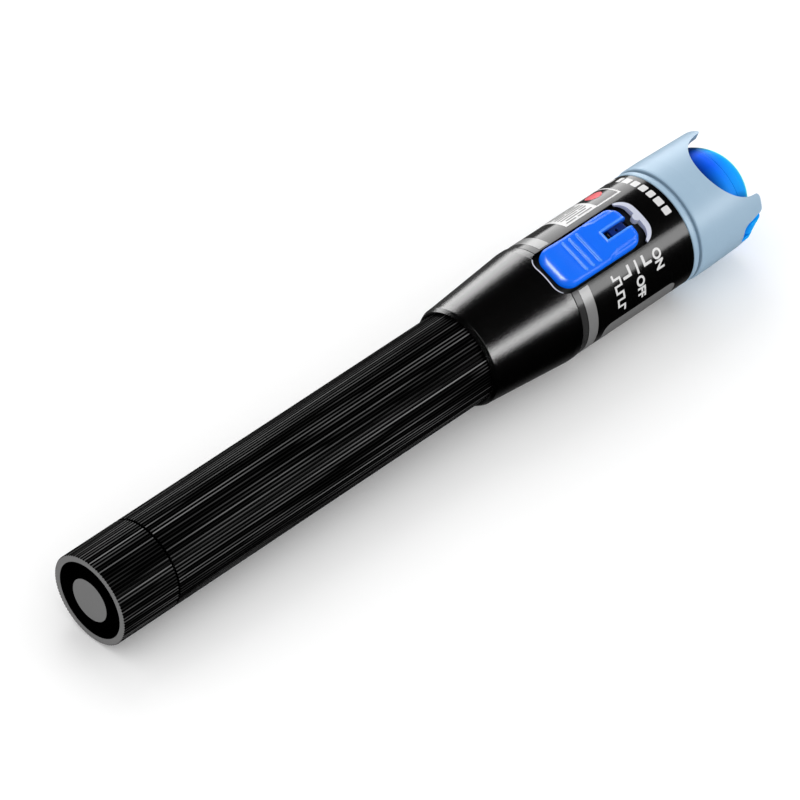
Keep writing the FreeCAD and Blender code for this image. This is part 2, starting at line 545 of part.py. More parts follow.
lever = block("switch_lever", (d("lever_high") - d("lever_low"), d("lever_half_width") * 2.0, d("lever_half_length") * 2.0),
              (d("lever_low"), -d("lever_half_width"), mid - d("lever_half_length")))
PIECES.append(lever)

switch = new_body("slide_switch")
sk = new_sketch(switch, "YZ_Plane", d("switch_low"))
polygon(sk, box_points(-d("switch_half_width"), d("switch_half_width"), mid - d("switch_half_length"), mid + d("switch_half_length")))
extrude(switch, sk, d("switch_high") - d("switch_low"))
sk = new_sketch(switch, "YZ_Plane", d("switch_high"))
polygon(sk, box_points(-d("shield_window"), d("shield_window"), mid - d("shield_window_half"), mid + d("shield_window_half")))
extrude(switch, sk, d("switch_high") - d("lever_low") + 0.4, cut=True)
dress(switch, "Fillet", Size(0.4, "(Dims.edge_round + 0.08)"),
      lambda m, a, b: abs(abs(m.y) - VALUES["switch_half_width"]) < 1e-3 and abs(abs(m.z - num(mid)) - VALUES["switch_half_length"]) < 1e-3)

# ---------------------------------------------------------------- board, parts on it, carriers and screws
SCREWS = [(s, z) for s in (-1, 1) for z in ("screw_low", "screw_high")]


def holes(body, base, radius, depth, reverse=False, through=False):
    sk = new_sketch(body, "YZ_Plane", base)
    for s, z in SCREWS:
        circle(sk, d("screw_offset") * float(s), d(z), radius)
    extrude(body, sk, depth, cut=True, reverse=reverse, through=through)


board = new_body("driver_board")
sk = new_sketch(board, "YZ_Plane", d("board_low"))
polygon(sk, box_points(-d("board_half_width"), d("board_half_width"), d("board_start"), d("board_end")))
extrude(board, sk, d("board_high") - d("board_low"))
holes(board, d("board_high"), d("screw_hole"), d("board_high") - d("board_low") + 1.0)

PIECES.append(block("driver_chip", (1.5, 4.0, 5.0), (d("board_low") - 1.5, -2.0, d("cavity_low") + 1.5)))
caps = fuse("board_capacitors", [block("cap_left", (1.1, 1.3, 2.0), (d("board_low") - 1.1, 4.2, d("cavity_low") + 3.2)),
                                 block("cap_right", (1.1, 1.3, 2.0), (d("board_low") - 1.1, -5.5, d("cavity_low") + 3.2))])
PIECES.append(caps)

lower = new_body("carrier_lower")
sk = new_sketch(lower, "XY_Plane", d("carrier_start"))
r, cut_x = d("carrier_radius"), d("board_low") - 0.05
half = (r * r - cut_x * cut_x).root()
a0 = math.acos(num(cut_x) / num(r))
g = sk.addGeometry(Part.ArcOfCircle(Part.Circle(Vector(0, 0, 0), Vector(0, 0, 1), num(r)), a0, 2 * math.pi - a0), False)
p = sk.addGeometry(Part.LineSegment(Vector(num(cut_x), -num(half), 0), Vector(num(cut_x), num(half), 0)), False)
for c in (("Coincident", g, 1, p, 2), ("Coincident", g, 2, p, 1), ("Coincident", g, 3, -1, 1), ("Vertical", p)):
    sk.addConstraint(Sketcher.Constraint(*c))
i = sk.addConstraint(Sketcher.Constraint("Radius", g, num(r)))
bind(sk, "Constraints[%d]" % i, r)
i = sk.addConstraint(Sketcher.Constraint("DistanceX", -1, 1, p, 1, num(cut_x)))
bind(sk, "Constraints[%d]" % i, cut_x)
extrude(lower, sk, d("carrier_end") - d("carrier_start"))
sk = new_sketch(lower, "YZ_Plane", d("board_low"))
polygon(sk, box_points(-d("cavity_half_width") + 2.0, d("cavity_half_width") - 2.0, d("cavity_low"), d("cavity_high")))
extrude(lower, sk, d("board_low") - d("cavity_floor"), cut=True)
sk = new_sketch(lower, "YZ_Plane", d("board_low"))
polygon(sk, box_points(-d("cavity_half_width") + 1.0, d("cavity_half_width") - 1.0, d("cavity_low") + 2.6, d("cavity_high") - 3.6))
extrude(lower, sk, Size(1.6, "(1.6 * 1)"), cut=True)
sk = new_sketch(lower, "XY_Plane", d("cavity_high") - 0.5)
circle(sk, 0, 0, d("laser_channel"))
extrude(lower, sk, d("carrier_end") - d("cavity_high") + 1.5, cut=True, reverse=True)
sk = new_sketch(lower, "YZ_Plane", d("board_low"))
polygon(sk, box_points(-d("laser_channel"), d("laser_channel"), d("cavity_high") - 0.5, d("carrier_end") + 1.0))
extrude(lower, sk, d("board_low"), cut=True)
holes(lower, d("board_low"), d("screw_pilot") + 0.05, d("board_low") - d("screw_tip") + 0.6)

upper = new_body("carrier_upper")
sk = new_sketch(upper, "XY_Plane", d("carrier_start"))
r, cut_x = d("upper_carrier_radius"), d("board_high") + 0.05
half = (r * r - cut_x * cut_x).root()
a0 = math.acos(num(cut_x) / num(r))
g = sk.addGeometry(Part.ArcOfCircle(Part.Circle(Vector(0, 0, 0), Vector(0, 0, 1), num(r)), -a0, a0), False)
p = sk.addGeometry(Part.LineSegment(Vector(num(cut_x), -num(half), 0), Vector(num(cut_x), num(half), 0)), False)
for c in (("Coincident", g, 1, p, 1), ("Coincident", g, 2, p, 2), ("Coincident", g, 3, -1, 1), ("Vertical", p)):
    sk.addConstraint(Sketcher.Constraint(*c))
i = sk.addConstraint(Sketcher.Constraint("Radius", g, num(r)))
bind(sk, "Constraints[%d]" % i, r)
i = sk.addConstraint(Sketcher.Constraint("DistanceX", -1, 1, p, 1, num(cut_x)))
bind(sk, "Constraints[%d]" % i, cut_x)
extrude(upper, sk, d("carrier_end") - d("carrier_start"))
sk = new_sketch(upper, "YZ_Plane")
polygon(sk, box_points(-d("upper_window_half_width"), d("upper_window_half_width"), d("upper_window_low"), d("upper_window_high")))
extrude(upper, sk, d("upper_carrier_radius") + 1.0, cut=True, reverse=True)
holes(upper, d("upper_carrier_radius"), d("screw_hole"), d("upper_carrier_radius"))
holes(upper, d("upper_carrier_radius"), d("screw_head_radius") + 0.15, d("upper_carrier_radius") - d("screw_seat"))

screw_parts = []
for n, (s, z) in enumerate(SCREWS):
    y = d("screw_offset") * float(s)
    shank = cylinder("screw_shank_%d" % n, d("screw_radius"), d("screw_seat") - d("screw_tip"), (d("screw_tip"), y, d(z)), Rotation(Vector(0, 1, 0), 90))
    head = cylinder("screw_head_%d" % n, d("screw_head_radius"), d("screw_head_height"), (d("screw_seat"), y, d(z)), Rotation(Vector(0, 1, 0), 90))
    whole = fuse("screw_%d" % n, [shank, head])
    slot_a = block("screw_slot_%d" % n, (0.6, 2.2, 0.45), (d("screw_seat") + d("screw_head_height") - 0.5, y - 1.1, d(z) - 0.225))
    slot_b = block("screw_cross_%d" % n, (0.6, 0.45, 2.2), (d("screw_seat") + d("screw_head_height") - 0.5, y - 0.225, d(z) - 1.1))
    cross = fuse("screw_drive_%d" % n, [slot_a, slot_b])
    screw_parts.append(cut("screw_cut_%d" % n, whole, cross))
screws = doc.addObject("Part::Compound", "board_screws")
screws.Label = "board_screws"
screws.Links = screw_parts
PIECES.append(screws)

# ---------------------------------------------------------------- laser module
laser = new_body("laser_housing")
flange_top = d("diode_start") + d("diode_flange")
revolve(laser, [
    (d("laser_back_bore"), d("laser_start")), (d("laser_radius"), d("laser_start")), (d("laser_radius"), d("laser_end") - 0.3),
    (d("laser_radius") - 0.3, d("laser_end")), (d("laser_front_bore"), d("laser_end")), (d("laser_front_bore"), flange_top + 0.05),
    (d("laser_back_bore"), flange_top + 0.05),
])
diode_disc = cylinder("diode_flange_disc", d("diode_flange_radius"), d("diode_flange"), (0, 0, d("diode_start")))
diode_can = cylinder("diode_can_top", d("diode_can_radius"), d("diode_can"), (0, 0, flange_top))
leads = [cylinder("diode_lead_%d" % n, d("diode_lead_radius"), d("diode_start") - d("diode_lead_start") + 0.1, (x, y, d("diode_lead_start")))
         for n, (x, y) in enumerate(((d("diode_lead_offset"), 0), (-d("diode_lead_offset"), 0), (0, d("diode_lead_offset"))))]
PIECES.append(fuse("laser_diode", [diode_disc, diode_can] + leads))
lens = new_body("laser_lens")
lz = d("lens_start")
revolve(lens, [(0, lz), (d("lens_radius") * 0.5, lz + 0.08), (d("lens_radius") * 0.85, lz + 0.3), (d("lens_radius"), lz + 0.5),
               (d("lens_radius"), d("lens_end") - 0.7), (d("lens_radius") * 0.8, d("lens_end") - 0.3),
               (d("lens_radius") * 0.45, d("lens_end") - 0.07), (0, d("lens_end"))])
lens_ring = new_body("lens_ring")
revolve(lens_ring, [(d("lens_ring_inner"), d("lens_end") + 0.05), (d("lens_radius"), d("lens_end") + 0.05),
                    (d("lens_radius"), d("lens_ring_end")), (d("lens_ring_inner"), d("lens_ring_end"))])

# ---------------------------------------------------------------- ferrule adapter
adapter = new_body("ferrule_adapter")
revolve(adapter, [
    (d("adapter_light_bore"), d("adapter_start")), (d("laser_radius") - 0.2, d("adapter_start")), (d("laser_radius") - 0.2, d("adapter_flange_start")),
    (d("adapter_flange_radius"), d("adapter_flange_start")), (d("adapter_flange_radius"), d("adapter_flange_end")),
    (d("adapter_body_radius"), d("adapter_flange_end")), (d("adapter_body_radius"), d("adapter_body_end") - 0.5),
    (d("adapter_body_radius") - 0.5, d("adapter_body_end")), (d("adapter_nose_radius"), d("adapter_body_end")),
    (d("adapter_nose_radius"), d("adapter_end") - 0.4), (d("adapter_nose_radius") - 0.4, d("adapter_end")),
    (d("adapter_sleeve_bore") + 0.3, d("adapter_end")), (d("adapter_sleeve_bore"), d("adapter_end") - 0.4),
    (d("adapter_sleeve_bore"), d("sleeve_start") - 0.1), (d("adapter_light_bore"), d("sleeve_start") - 0.1),
])
ferrule_sleeve = new_body("alignment_sleeve")
revolve(ferrule_sleeve, [
    (d("port_radius"), d("sleeve_start")), (d("sleeve_radius"), d("sleeve_start")), (d("sleeve_radius"), d("sleeve_end")),
    (d("port_radius"), d("sleeve_end")),
])
nut = new_body("adapter_nut")
sk = new_sketch(nut, "XY_Plane", d("nut_start"))
across = d("nut_flats") / math.sqrt(3.0)
polygon(sk, [(across * math.cos(math.radians(60 * n + 0.0)) if n not in () else 0, across * math.sin(math.radians(60 * n)) if n % 3 else 0)
             for n in range(6)])
extrude(nut, sk, d("nut_end") - d("nut_start"))
sk = new_sketch(nut, "XY_Plane", d("nut_start"))
circle(sk, 0, 0, d("nut_bore"))
extrude(nut, sk, d("nut_end") - d("nut_start") + 1.0, cut=True, reverse=True)

# ---------------------------------------------------------------- crown collar
collar = new_body("crown_collar")
revolve(collar, [
    (d("collar_floor_hole"), d("collar_start")), (d("collar_sleeve_inner"), d("collar_start")),
    (d("collar_sleeve_inner"), d("collar_sleeve_start")), (d("collar_sleeve_outer"), d("collar_sleeve_start")),
    (d("collar_sleeve_outer"), d("collar_ring_groove_low")), (d("collar_ring_groove_radius"), d("collar_ring_groove_low")),
    (d("collar_ring_groove_radius"), d("collar_ring_groove_high")), (d("collar_sleeve_outer"), d("collar_ring_groove_high")),
    (d("collar_sleeve_outer"), d("collar_start")), (d("collar_ring_radius") - 0.15, d("collar_start")),
    (d("collar_ring_radius"), d("collar_start") + 0.15), (d("collar_ring_radius"), d("collar_ring_end") - 0.15),
    (d("collar_ring_radius") - 0.15, d("collar_ring_end")), (d("collar_groove_radius"), d("collar_ring_end") + 0.1),
    (d("collar_groove_radius"), d("collar_groove_end")), (d("collar_ring_radius") - 0.05, d("collar_body_start")),
    (d("collar_body_radius") - 0.06, d("collar_body_start") + 0.25), (d("collar_body_radius"), d("collar_shoulder")),
    (d("collar_body_radius"), d("collar_widest")), (d("collar_top_radius"), d("collar_top")), (d("collar_bore"), d("collar_top")),
    (d("collar_bore"), d("collar_floor_top")), (d("collar_floor_hole"), d("collar_floor_top")),
])
# two broad scallops, in front and behind, their upper ends rounded outwards onto the prongs
sk = new_sketch(collar, "YZ_Plane")
sr, sm, sl = d("scallop_radius"), d("collar_top") - d("prong_round"), d("prong_round")
polygon(sk, [
    (-sr, sm, (0, sm, True)), (sr, sm, (sr + sl, sm, False)), (sr + sl, sm + sl), (sr + sl, sm + sl + 1.0),
    (-sr - sl, sm + sl + 1.0), (-sr - sl, sm + sl, (-sr - sl, sm, False)),
])
extrude(collar, sk, d("collar_body_radius") * 2.0 + 4.0, cut=True, both=True)
# hinge notch, wider outside than inside
sections = []
for away, flat in (("notch_near", "notch_near_half"), ("notch_far", "notch_far_half")):
    sk = new_sketch(collar, "XZ_Plane", -d(away))
    nb, nc, nl, nr, nt = d("notch_bottom"), d("notch_corner"), d("notch_lip"), d(flat), d("collar_top")
    w = nr + nc + 0.8
    polygon(sk, [
        (-nr, nb), (nr, nb, (nr, nb + nc, True)), (nr + nc, nb + nc), (w, nt - nl, (w + nl, nt - nl, False)), (w + nl, nt),
        (w + nl, nt + 1.0), (-w - nl, nt + 1.0), (-w - nl, nt, (-w - nl, nt - nl, False)), (-w, nt - nl), (-nr - nc, nb + nc, (-nr, nb + nc, True)),
    ])
    sections.append(sk)
notch = collar.newObject("PartDesign::SubtractiveLoft", "hinge_notch")
notch.Profile = sections[0]
notch.Sections = [sections[1]]
notch.Ruled = True
volume = collar.Shape.Volume
doc.recompute()
if not collar.Shape.Volume < volume - 1.0:
    raise RuntimeError("the hinge notch cuts nothing")

# ---------------------------------------------------------------- blue front insert with hinge ears
insert = new_body("front_insert")
br, bm = d("ball_radius"), d("ball_middle")
top_r = (br * br - (d("insert_end") - bm) * (d("insert_end") - bm)).root()
revolve(insert, [
    (d("insert_bore"), d("insert_start")), (br, d("insert_start")), (br, bm, (0, bm, True)),
    (top_r, d("insert_end")), (d("insert_bore"), d("insert_end")),
])
for s in (-1.0, 1.0):
    sk = new_sketch(insert, "YZ_Plane", d("ear_inner") if s > 0 else -d("ear_outer"))
    ho, hh, er = d("hinge_out"), d("hinge_height"), d("ear_radius")
    polygon(sk, [(ho - er, hh - 4.6), (ho + 0.4, hh - 1.9), (ho + er, hh - 1.6), (ho + er, hh), (ho - er, hh)])
    extrude(insert, sk, d("ear_outer") - d("ear_inner"))
    sk = new_sketch(insert, "YZ_Plane", d("ear_inner") if s > 0 else -d("ear_outer"))
    circle(sk, ho, hh, er)
    extrude(insert, sk, d("ear_outer") - d("ear_inner"))
sk = new_sketch(insert, "YZ_Plane")
circle(sk, d("hinge_out"), d("hinge_height"), d("pin_radius"))
extrude(insert, sk, d("ear_outer") * 3.0, cut=True, both=True)

# ---------------------------------------------------------------- dust cap lid
lid = new_body("dust_cap_lid")
lid_r = (br * br - (d("lid_start") - bm) * (d("lid_start") - bm)).root()
edge_z = bm + (br * br - d("lid_flat_edge_radius") * d("lid_flat_edge_radius")).root()
ir = d("lid_inner_radius")
in_low = (ir * ir - (d("lid_start") - bm) * (d("lid_start") - bm)).root()
in_top = (ir * ir - (d("lid_inner_top") - bm) * (d("lid_inner_top") - bm)).root()
revolve(lid, [
    (in_low, d("lid_start")), (lid_r, d("lid_start"), (0, bm, True)), (d("lid_flat_edge_radius"), edge_z),
    (d("lid_flat_radius"), d("lid_end")), (0, d("lid_end")), (0, d("lid_inner_top")), (in_top, d("lid_inner_top"), (0, bm, False)),
])
# gap for the ears, then the arm and knuckle between them
ho, hh, kr = d("hinge_out"), d("hinge_height"), d("knuckle_radius")
sk = new_sketch(lid, "XZ_Plane", -d("lid_gap_in"))
polygon(sk, box_points(-d("lid_gap_half"), d("lid_gap_half"), d("lid_start") - 1.0, d("lid_gap_top")))
extrude(lid, sk, Size(4.0, "(4.0 * 1)"), cut=True)
sk = new_sketch(lid, "YZ_Plane")
polygon(sk, [(ho - 2.45, hh - 0.7), (ho, hh - 0.9), (ho, hh + kr - 0.05), (ho - 2.3, hh + kr + 0.05), (ho - 2.75, hh + 0.9)])
extrude(lid, sk, d("knuckle_half_width") * 2.0, both=True)
sk = new_sketch(lid, "YZ_Plane")
circle(sk, ho, hh, kr)
extrude(lid, sk, d("knuckle_half_width") * 2.0, both=True)
sk = new_sketch(lid, "YZ_Plane")
circle(sk, ho, hh, d("knuckle_bore"))
extrude(lid, sk, d("knuckle_half_width") * 4.0, cut=True, both=True)

pin = cylinder("hinge_pin", d("pin_radius"), d("ear_outer") * 2.0 - 0.1, (-d("ear_outer") + 0.05, d("hinge_out"), d("hinge_height")), Rotation(Vector(0, 1, 0), 90))
PIECES.append(pin)
seal = new_body("dust_seal")
revolve(seal, [
    (0, d("seal_start")), (d("seal_radius") - 0.4, d("seal_start")), (d("seal_radius"), d("seal_start") + 0.4),
    (d("seal_radius"), d("lid_inner_top") - 2.0), (d("seal_head_radius"), d("lid_inner_top") - 1.0), (d("seal_head_radius"), d("lid_inner_top")),
    (0, d("lid_inner_top")),
])
torus("collar_oring", d("collar_oring_radius"), d("collar_oring_section"), d("collar_ring_mid"))

# ---------------------------------------------------------------- checks and export
doc.recompute()
bad = [o.Name for o in doc.Objects if "Invalid" in o.State or "Error" in o.State]
if bad:
    raise RuntimeError("failed objects: " + ", ".join(bad))
labels = [p.Label for p in PIECES]
if len(set(labels)) != len(labels):
    raise RuntimeError("two pieces share a label")
for piece in PIECES:
    shape = piece.Shape
    if shape.isNull() or not shape.isValid() or not shape.Solids:
        raise RuntimeError(piece.Label + " has no valid solid")
for piece in PIECES:
    piece.Shape.exportStep("parts/%s.step" % piece.Label)
    b = piece.Shape.BoundBox
    print("%-20s solids %d volume %9.2f  x %7.2f %7.2f  y %7.2f %7.2f  z %7.2f %7.2f" % (
        piece.Label, len(piece.Shape.Solids), piece.Shape.Volume, b.XMin, b.XMax, b.YMin, b.YMax, b.ZMin, b.ZMax))
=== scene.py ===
import json
import math

import bmesh
import bpy
from mathutils import Matrix, Vector


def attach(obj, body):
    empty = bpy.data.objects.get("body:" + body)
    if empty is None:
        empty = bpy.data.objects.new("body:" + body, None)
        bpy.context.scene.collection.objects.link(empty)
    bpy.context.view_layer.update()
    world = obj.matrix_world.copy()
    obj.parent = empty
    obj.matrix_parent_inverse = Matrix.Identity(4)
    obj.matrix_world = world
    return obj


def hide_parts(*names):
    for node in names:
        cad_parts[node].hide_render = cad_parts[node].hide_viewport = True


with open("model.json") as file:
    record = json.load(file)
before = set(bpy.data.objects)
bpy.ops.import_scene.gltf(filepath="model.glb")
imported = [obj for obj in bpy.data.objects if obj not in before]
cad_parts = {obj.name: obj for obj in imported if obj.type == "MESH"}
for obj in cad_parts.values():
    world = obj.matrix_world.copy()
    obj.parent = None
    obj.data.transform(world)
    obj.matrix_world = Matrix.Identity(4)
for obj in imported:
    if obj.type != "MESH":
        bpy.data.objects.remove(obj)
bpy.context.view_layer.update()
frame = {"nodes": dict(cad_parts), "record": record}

MM = 0.001
# how bright the studio is: radiance of the panels, of the room, and of what the gloss reflects
KEY, UPPER, LOWER, GLINT = 2.1, 6.0, 6.8, 8.0
AMBIENT, AMBIENT_DARK, AMBIENT_GLOW = 0.98, 0.001, 0.12

# ------------------------------------------------------------------------------------------------ camera
PHI, ROLL = 0.5382008788, 0.5842481128
DIST, FOCAL, SCALE = 1300.0, 6753.9654, 0.985 * MM
TAIL = (89.55398, 600.56550)
TURN = math.radians(17.5)

along = Vector((math.sin(PHI), 0.0, math.cos(PHI)))
across = Vector((0.0, -1.0, 0.0))
back = Vector((math.cos(PHI), 0.0, -math.sin(PHI)))
right = math.cos(ROLL) * along - math.sin(ROLL) * across
up = math.sin(ROLL) * along + math.cos(ROLL) * across
ox = (TAIL[0] - 400.0) / FOCAL * DIST
oy = -(TAIL[1] - 400.0) / FOCAL * DIST
spin = Matrix.Rotation(TURN, 3, "Z")
axes = Matrix((right, up, back)).transposed()
cam_data = bpy.data.cameras.new("camera")
cam = bpy.data.objects.new("camera", cam_data)
bpy.context.scene.collection.objects.link(cam)
cam.matrix_world = Matrix.Translation(spin @ ((-ox * right - oy * up + DIST * back) * SCALE)) @ (spin @ axes).to_4x4()
cam_data.sensor_width = 36.0
cam_data.lens = FOCAL / 800.0 * 36.0
cam_data.clip_start, cam_data.clip_end = 0.05, 10.0
bpy.context.scene.camera = cam
CAM_RIGHT, CAM_UP, CAM_BACK = spin @ right, spin @ up, spin @ back


# ------------------------------------------------------------------------------------------------ node helpers
class Nodes:
    """A material's node tree, built a node at a time."""

    def __init__(self, name):
        self.mat = bpy.data.materials.new(name)
        self.mat.use_nodes = True
        self.tree = self.mat.node_tree
        for n in list(self.tree.nodes):
            self.tree.nodes.remove(n)
        self.out = self.tree.nodes.new("ShaderNodeOutputMaterial")

    def add(self, kind, inputs=None, **props):
        n = self.tree.nodes.new(kind)
        for k, v in props.items():
            setattr(n, k, v)
        for k, v in (inputs or {}).items():
            self.plug(n, k, v)
        return n

    def plug(self, n, k, v):
        socket = n.inputs[k]
        if isinstance(v, bpy.types.NodeSocket):
            self.tree.links.new(v, socket)
        else:
            socket.default_value = v

    def math(self, op, a, b=0.0, c=0.0, clamp=False):
        n = self.add("ShaderNodeMath", operation=op, use_clamp=clamp)
        for i, v in enumerate((a, b, c)):
            self.plug(n, i, v)
        return n.outputs[0]

    def mix(self, fac, a, b):
        n = self.add("ShaderNodeMix", data_type="RGBA")
        self.plug(n, 0, fac)
        self.plug(n, 6, a)
        self.plug(n, 7, b)
        return n.outputs[2]

    def lerp(self, fac, a, b):
        n = self.add("ShaderNodeMix", data_type="FLOAT")
        self.plug(n, 0, fac)
        self.plug(n, 2, a)
        self.plug(n, 3, b)
        return n.outputs[0]

    def noise(self, vector, scale, detail=3.0, rough=0.6):
        return self.add("ShaderNodeTexNoise", {"Vector": vector, "Scale": scale, "Detail": detail, "Roughness": rough}).outputs[0]

    def ramp(self, value, low, high, a=0.0, b=1.0):
        return self.add("ShaderNodeMapRange", {0: value, 1: low, 2: high, 3: a, 4: b}, clamp=True).outputs[0]

    def stretch(self, vector, x, y, z):
        return self.add("ShaderNodeMapping", {"Vector": vector, "Scale": (x, y, z)}).outputs[0]

    def bump(self, height, strength, distance, normal=None):
        inputs = {"Height": height, "Strength": strength, "Distance": distance}
        if normal is not None:
            inputs["Normal"] = normal
        return self.add("ShaderNodeBump", inputs).outputs[0]

    def shader(self, **inputs):
        b = self.add("ShaderNodeBsdfPrincipled")
        for k, v in inputs.items():
            self.plug(b, k.replace("_", " "), v)
        self.tree.links.new(b.outputs[0], self.out.inputs[0])
        return b

    @property
    def place(self):
        return self.add("ShaderNodeTexCoord").outputs["Object"]


FLUTES = 88
SEAM_Z = 0.0142


def grey(v):
    return (v, v, v, 1.0)


def edge_wear(m, near=0.00025):
    """1 near the surface's convex edges, 0 elsewhere."""
    geo = m.add("ShaderNodeNewGeometry")
    return m.ramp(geo.outputs["Pointiness"], 0.52, 0.58)


def fluted_metal():
    """Black anodised flutes: painted highlights, pale lines along the crests of some ridges, in runs along the pen; the
    turned end face is paler.
    """
    m = Nodes("anodised_black")
    p = m.place
    xyz = m.add("ShaderNodeSeparateXYZ", {0: p}).outputs
    turn = m.math("ARCTAN2", xyz[1], xyz[0])
    radius = m.math("SQRT", m.math("ADD", m.math("MULTIPLY", xyz[0], xyz[0]), m.math("MULTIPLY", xyz[1], xyz[1])))
    piece = m.math("MULTIPLY", m.math("LESS_THAN", xyz[2], SEAM_Z), 341.0)
    ridge = m.math("ADD", m.math("FLOOR", m.math("MULTIPLY", turn, FLUTES / (2.0 * math.pi))), piece)
    lane = m.add("ShaderNodeCombineXYZ", {0: m.math("MULTIPLY", ridge, 1.731), 1: m.math("MULTIPLY", xyz[2], 16.0), 2: 3.1}).outputs[0]
    wide = m.add("ShaderNodeCombineXYZ", {0: m.math("MULTIPLY", ridge, 0.13), 1: m.math("MULTIPLY", xyz[2], 5.0), 2: 7.7}).outputs[0]
    # painted highlight: picks which ridges carry a pale crest line, in runs along the pen
    bright = m.math("MULTIPLY", m.ramp(m.noise(lane, 1.0, 2.0), 0.45, 0.68), m.ramp(m.noise(wide, 1.0, 1.0), 0.34, 0.60, 0.22, 1.0))
    bright = m.math("MAXIMUM", bright, 0.02)
    fine = m.noise(p, 9000.0, 2.0)
    runs = m.noise(m.stretch(p, 6000.0, 6000.0, 90.0), 1.0, 3.0)
    nick = m.ramp(m.noise(m.stretch(p, 1600.0, 1600.0, 700.0), 1.0, 3.0, 0.7), 0.66, 0.72)
    place = m.math("FRACT", m.math("MULTIPLY", turn, FLUTES / (2.0 * math.pi)))
    thin = m.ramp(m.math("ABSOLUTE", m.math("SUBTRACT", place, 0.5)), 0.20, 0.12)
    crest = m.math("MULTIPLY", m.math("MULTIPLY", m.ramp(radius, 0.00978, 0.00984), thin), m.math("SUBTRACT", 1.0, m.math("MULTIPLY", nick, 0.7)))
    line = m.math("MULTIPLY", m.math("MULTIPLY", crest, bright), m.ramp(runs, 0.3, 0.6, 0.6, 1.0))
    end = m.math("MULTIPLY", m.math("LESS_THAN", xyz[2], 0.00004), 1.0)
    face = m.mix(m.noise(p, 5000.0, 2.0), grey(0.155), grey(0.19))
    # the crest lines mix the near-black anodising towards grey as a painted highlight
    colour = m.mix(line, m.mix(fine, grey(0.0002), grey(0.0006)), grey(0.27))
    colour = m.mix(end, colour, face)
    rough = m.lerp(end, m.lerp(runs, 0.20, 0.34), 0.5)
    m.shader(Base_Color=colour, Metallic=0.0, Roughness=rough, Specular_IOR_Level=0.012,
             Normal=m.bump(fine, 0.2, 0.00003, m.bump(runs, 0.35, 0.00004)))
    return m.mat


def satin_metal():
    """Bead-blasted, black anodised aluminium: a fine sparkle in the highlights, near black elsewhere."""
    m = Nodes("housing_black")
    p = m.place
    grain = m.noise(p, 3400.0, 2.5, 0.7)
    fine = m.noise(p, 15000.0, 1.0)
    patch = m.noise(p, 90.0, 3.0)
    speck = m.ramp(grain, 0.50, 0.74)
    colour = m.mix(speck, grey(0.0002), grey(0.0012))
    rough = m.math("ADD", m.lerp(grain, 0.11, 0.17), m.math("MULTIPLY", patch, 0.03))
    m.shader(Base_Color=colour, Metallic=0.0, Roughness=rough, Specular_IOR_Level=0.9,
             Normal=m.bump(grain, 0.62, 0.00005, m.bump(fine, 0.2, 0.00002)))
    return m.mat


def label_film():
    m = Nodes("label_film")
    p = m.place
    xyz = m.add("ShaderNodeSeparateXYZ", {0: p}).outputs
    band = m.math("MULTIPLY", m.math("GREATER_THAN", xyz[2], 0.1206), m.math("LESS_THAN", xyz[2], 0.1221))
    ripple = m.noise(p, 300.0, 2.0)
    fine = m.noise(p, 9000.0, 2.0)
    scuff = m.ramp(m.noise(m.stretch(p, 500.0, 500.0, 2500.0), 1.0, 4.0), 0.62, 0.75)
    colour = m.mix(band, m.mix(fine, grey(0.0006), grey(0.0016)), grey(0.030))
    rough = m.math("ADD", m.lerp(ripple, 0.13, 0.19), m.math("MULTIPLY", scuff, 0.08))
    m.shader(Base_Color=colour, Roughness=rough, Specular_IOR_Level=0.40,
             Normal=m.bump(ripple, 0.05, 0.0002, m.bump(fine, 0.12, 0.00002)))
    return m.mat


def moulded(name, low, high, rough, spec, grain=4200.0, grain_strength=0.2, wear=0.25, wear_colour=None, coat=0.0, sss=0.0):
    """Moulded plastic: a fine spark-eroded grain, slight colour variation and paler worn edges."""
    m = Nodes(name)
    p = m.place
    g = m.noise(p, grain, 3.0, 0.65)
    cloud = m.noise(p, 120.0, 4.0)
    speck = m.ramp(m.noise(p, 1900.0, 2.0), 0.66, 0.74)
    colour = m.mix(cloud, low, high)
    colour = m.mix(m.math("MULTIPLY", speck, 0.10), colour, grey(0.03))
    if wear:
        colour = m.mix(m.math("MULTIPLY", edge_wear(m), wear), colour, wear_colour or grey(0.8))
    b = m.shader(Base_Color=colour, Roughness=m.lerp(g, rough - 0.05, rough + 0.07), Specular_IOR_Level=spec,
                 Normal=m.bump(g, grain_strength, 0.00004, m.bump(cloud, 0.1, 0.0002)))
    if coat:
        b.inputs["Coat Weight"].default_value = coat
        b.inputs["Coat Roughness"].default_value = 0.12
    if sss:
        b.inputs["Subsurface Weight"].default_value = sss
        b.inputs["Subsurface Radius"].default_value = (0.3, 0.6, 1.0)
        b.inputs["Subsurface Scale"].default_value = 0.0012
    return m.mat


def metal(name, colour, rough, turned=True, metallic=1.0):
    """Turned or plated metal with fine tool rings and a little tarnish."""
    m = Nodes(name)
    p = m.place
    rings = m.noise(m.stretch(p, 300.0, 300.0, 9000.0) if turned else m.stretch(p, 4000.0, 4000.0, 4000.0), 1.0, 2.0)
    stain = m.noise(p, 400.0, 4.0)
    c = m.mix(m.ramp(stain, 0.45, 0.75), colour, tuple(v * 0.7 for v in colour[:3]) + (1,))
    m.shader(Base_Color=c, Metallic=metallic, Roughness=m.lerp(rings, rough - 0.07, rough + 0.12),
             Normal=m.bump(rings, 0.25, 0.00003))
    return m.mat


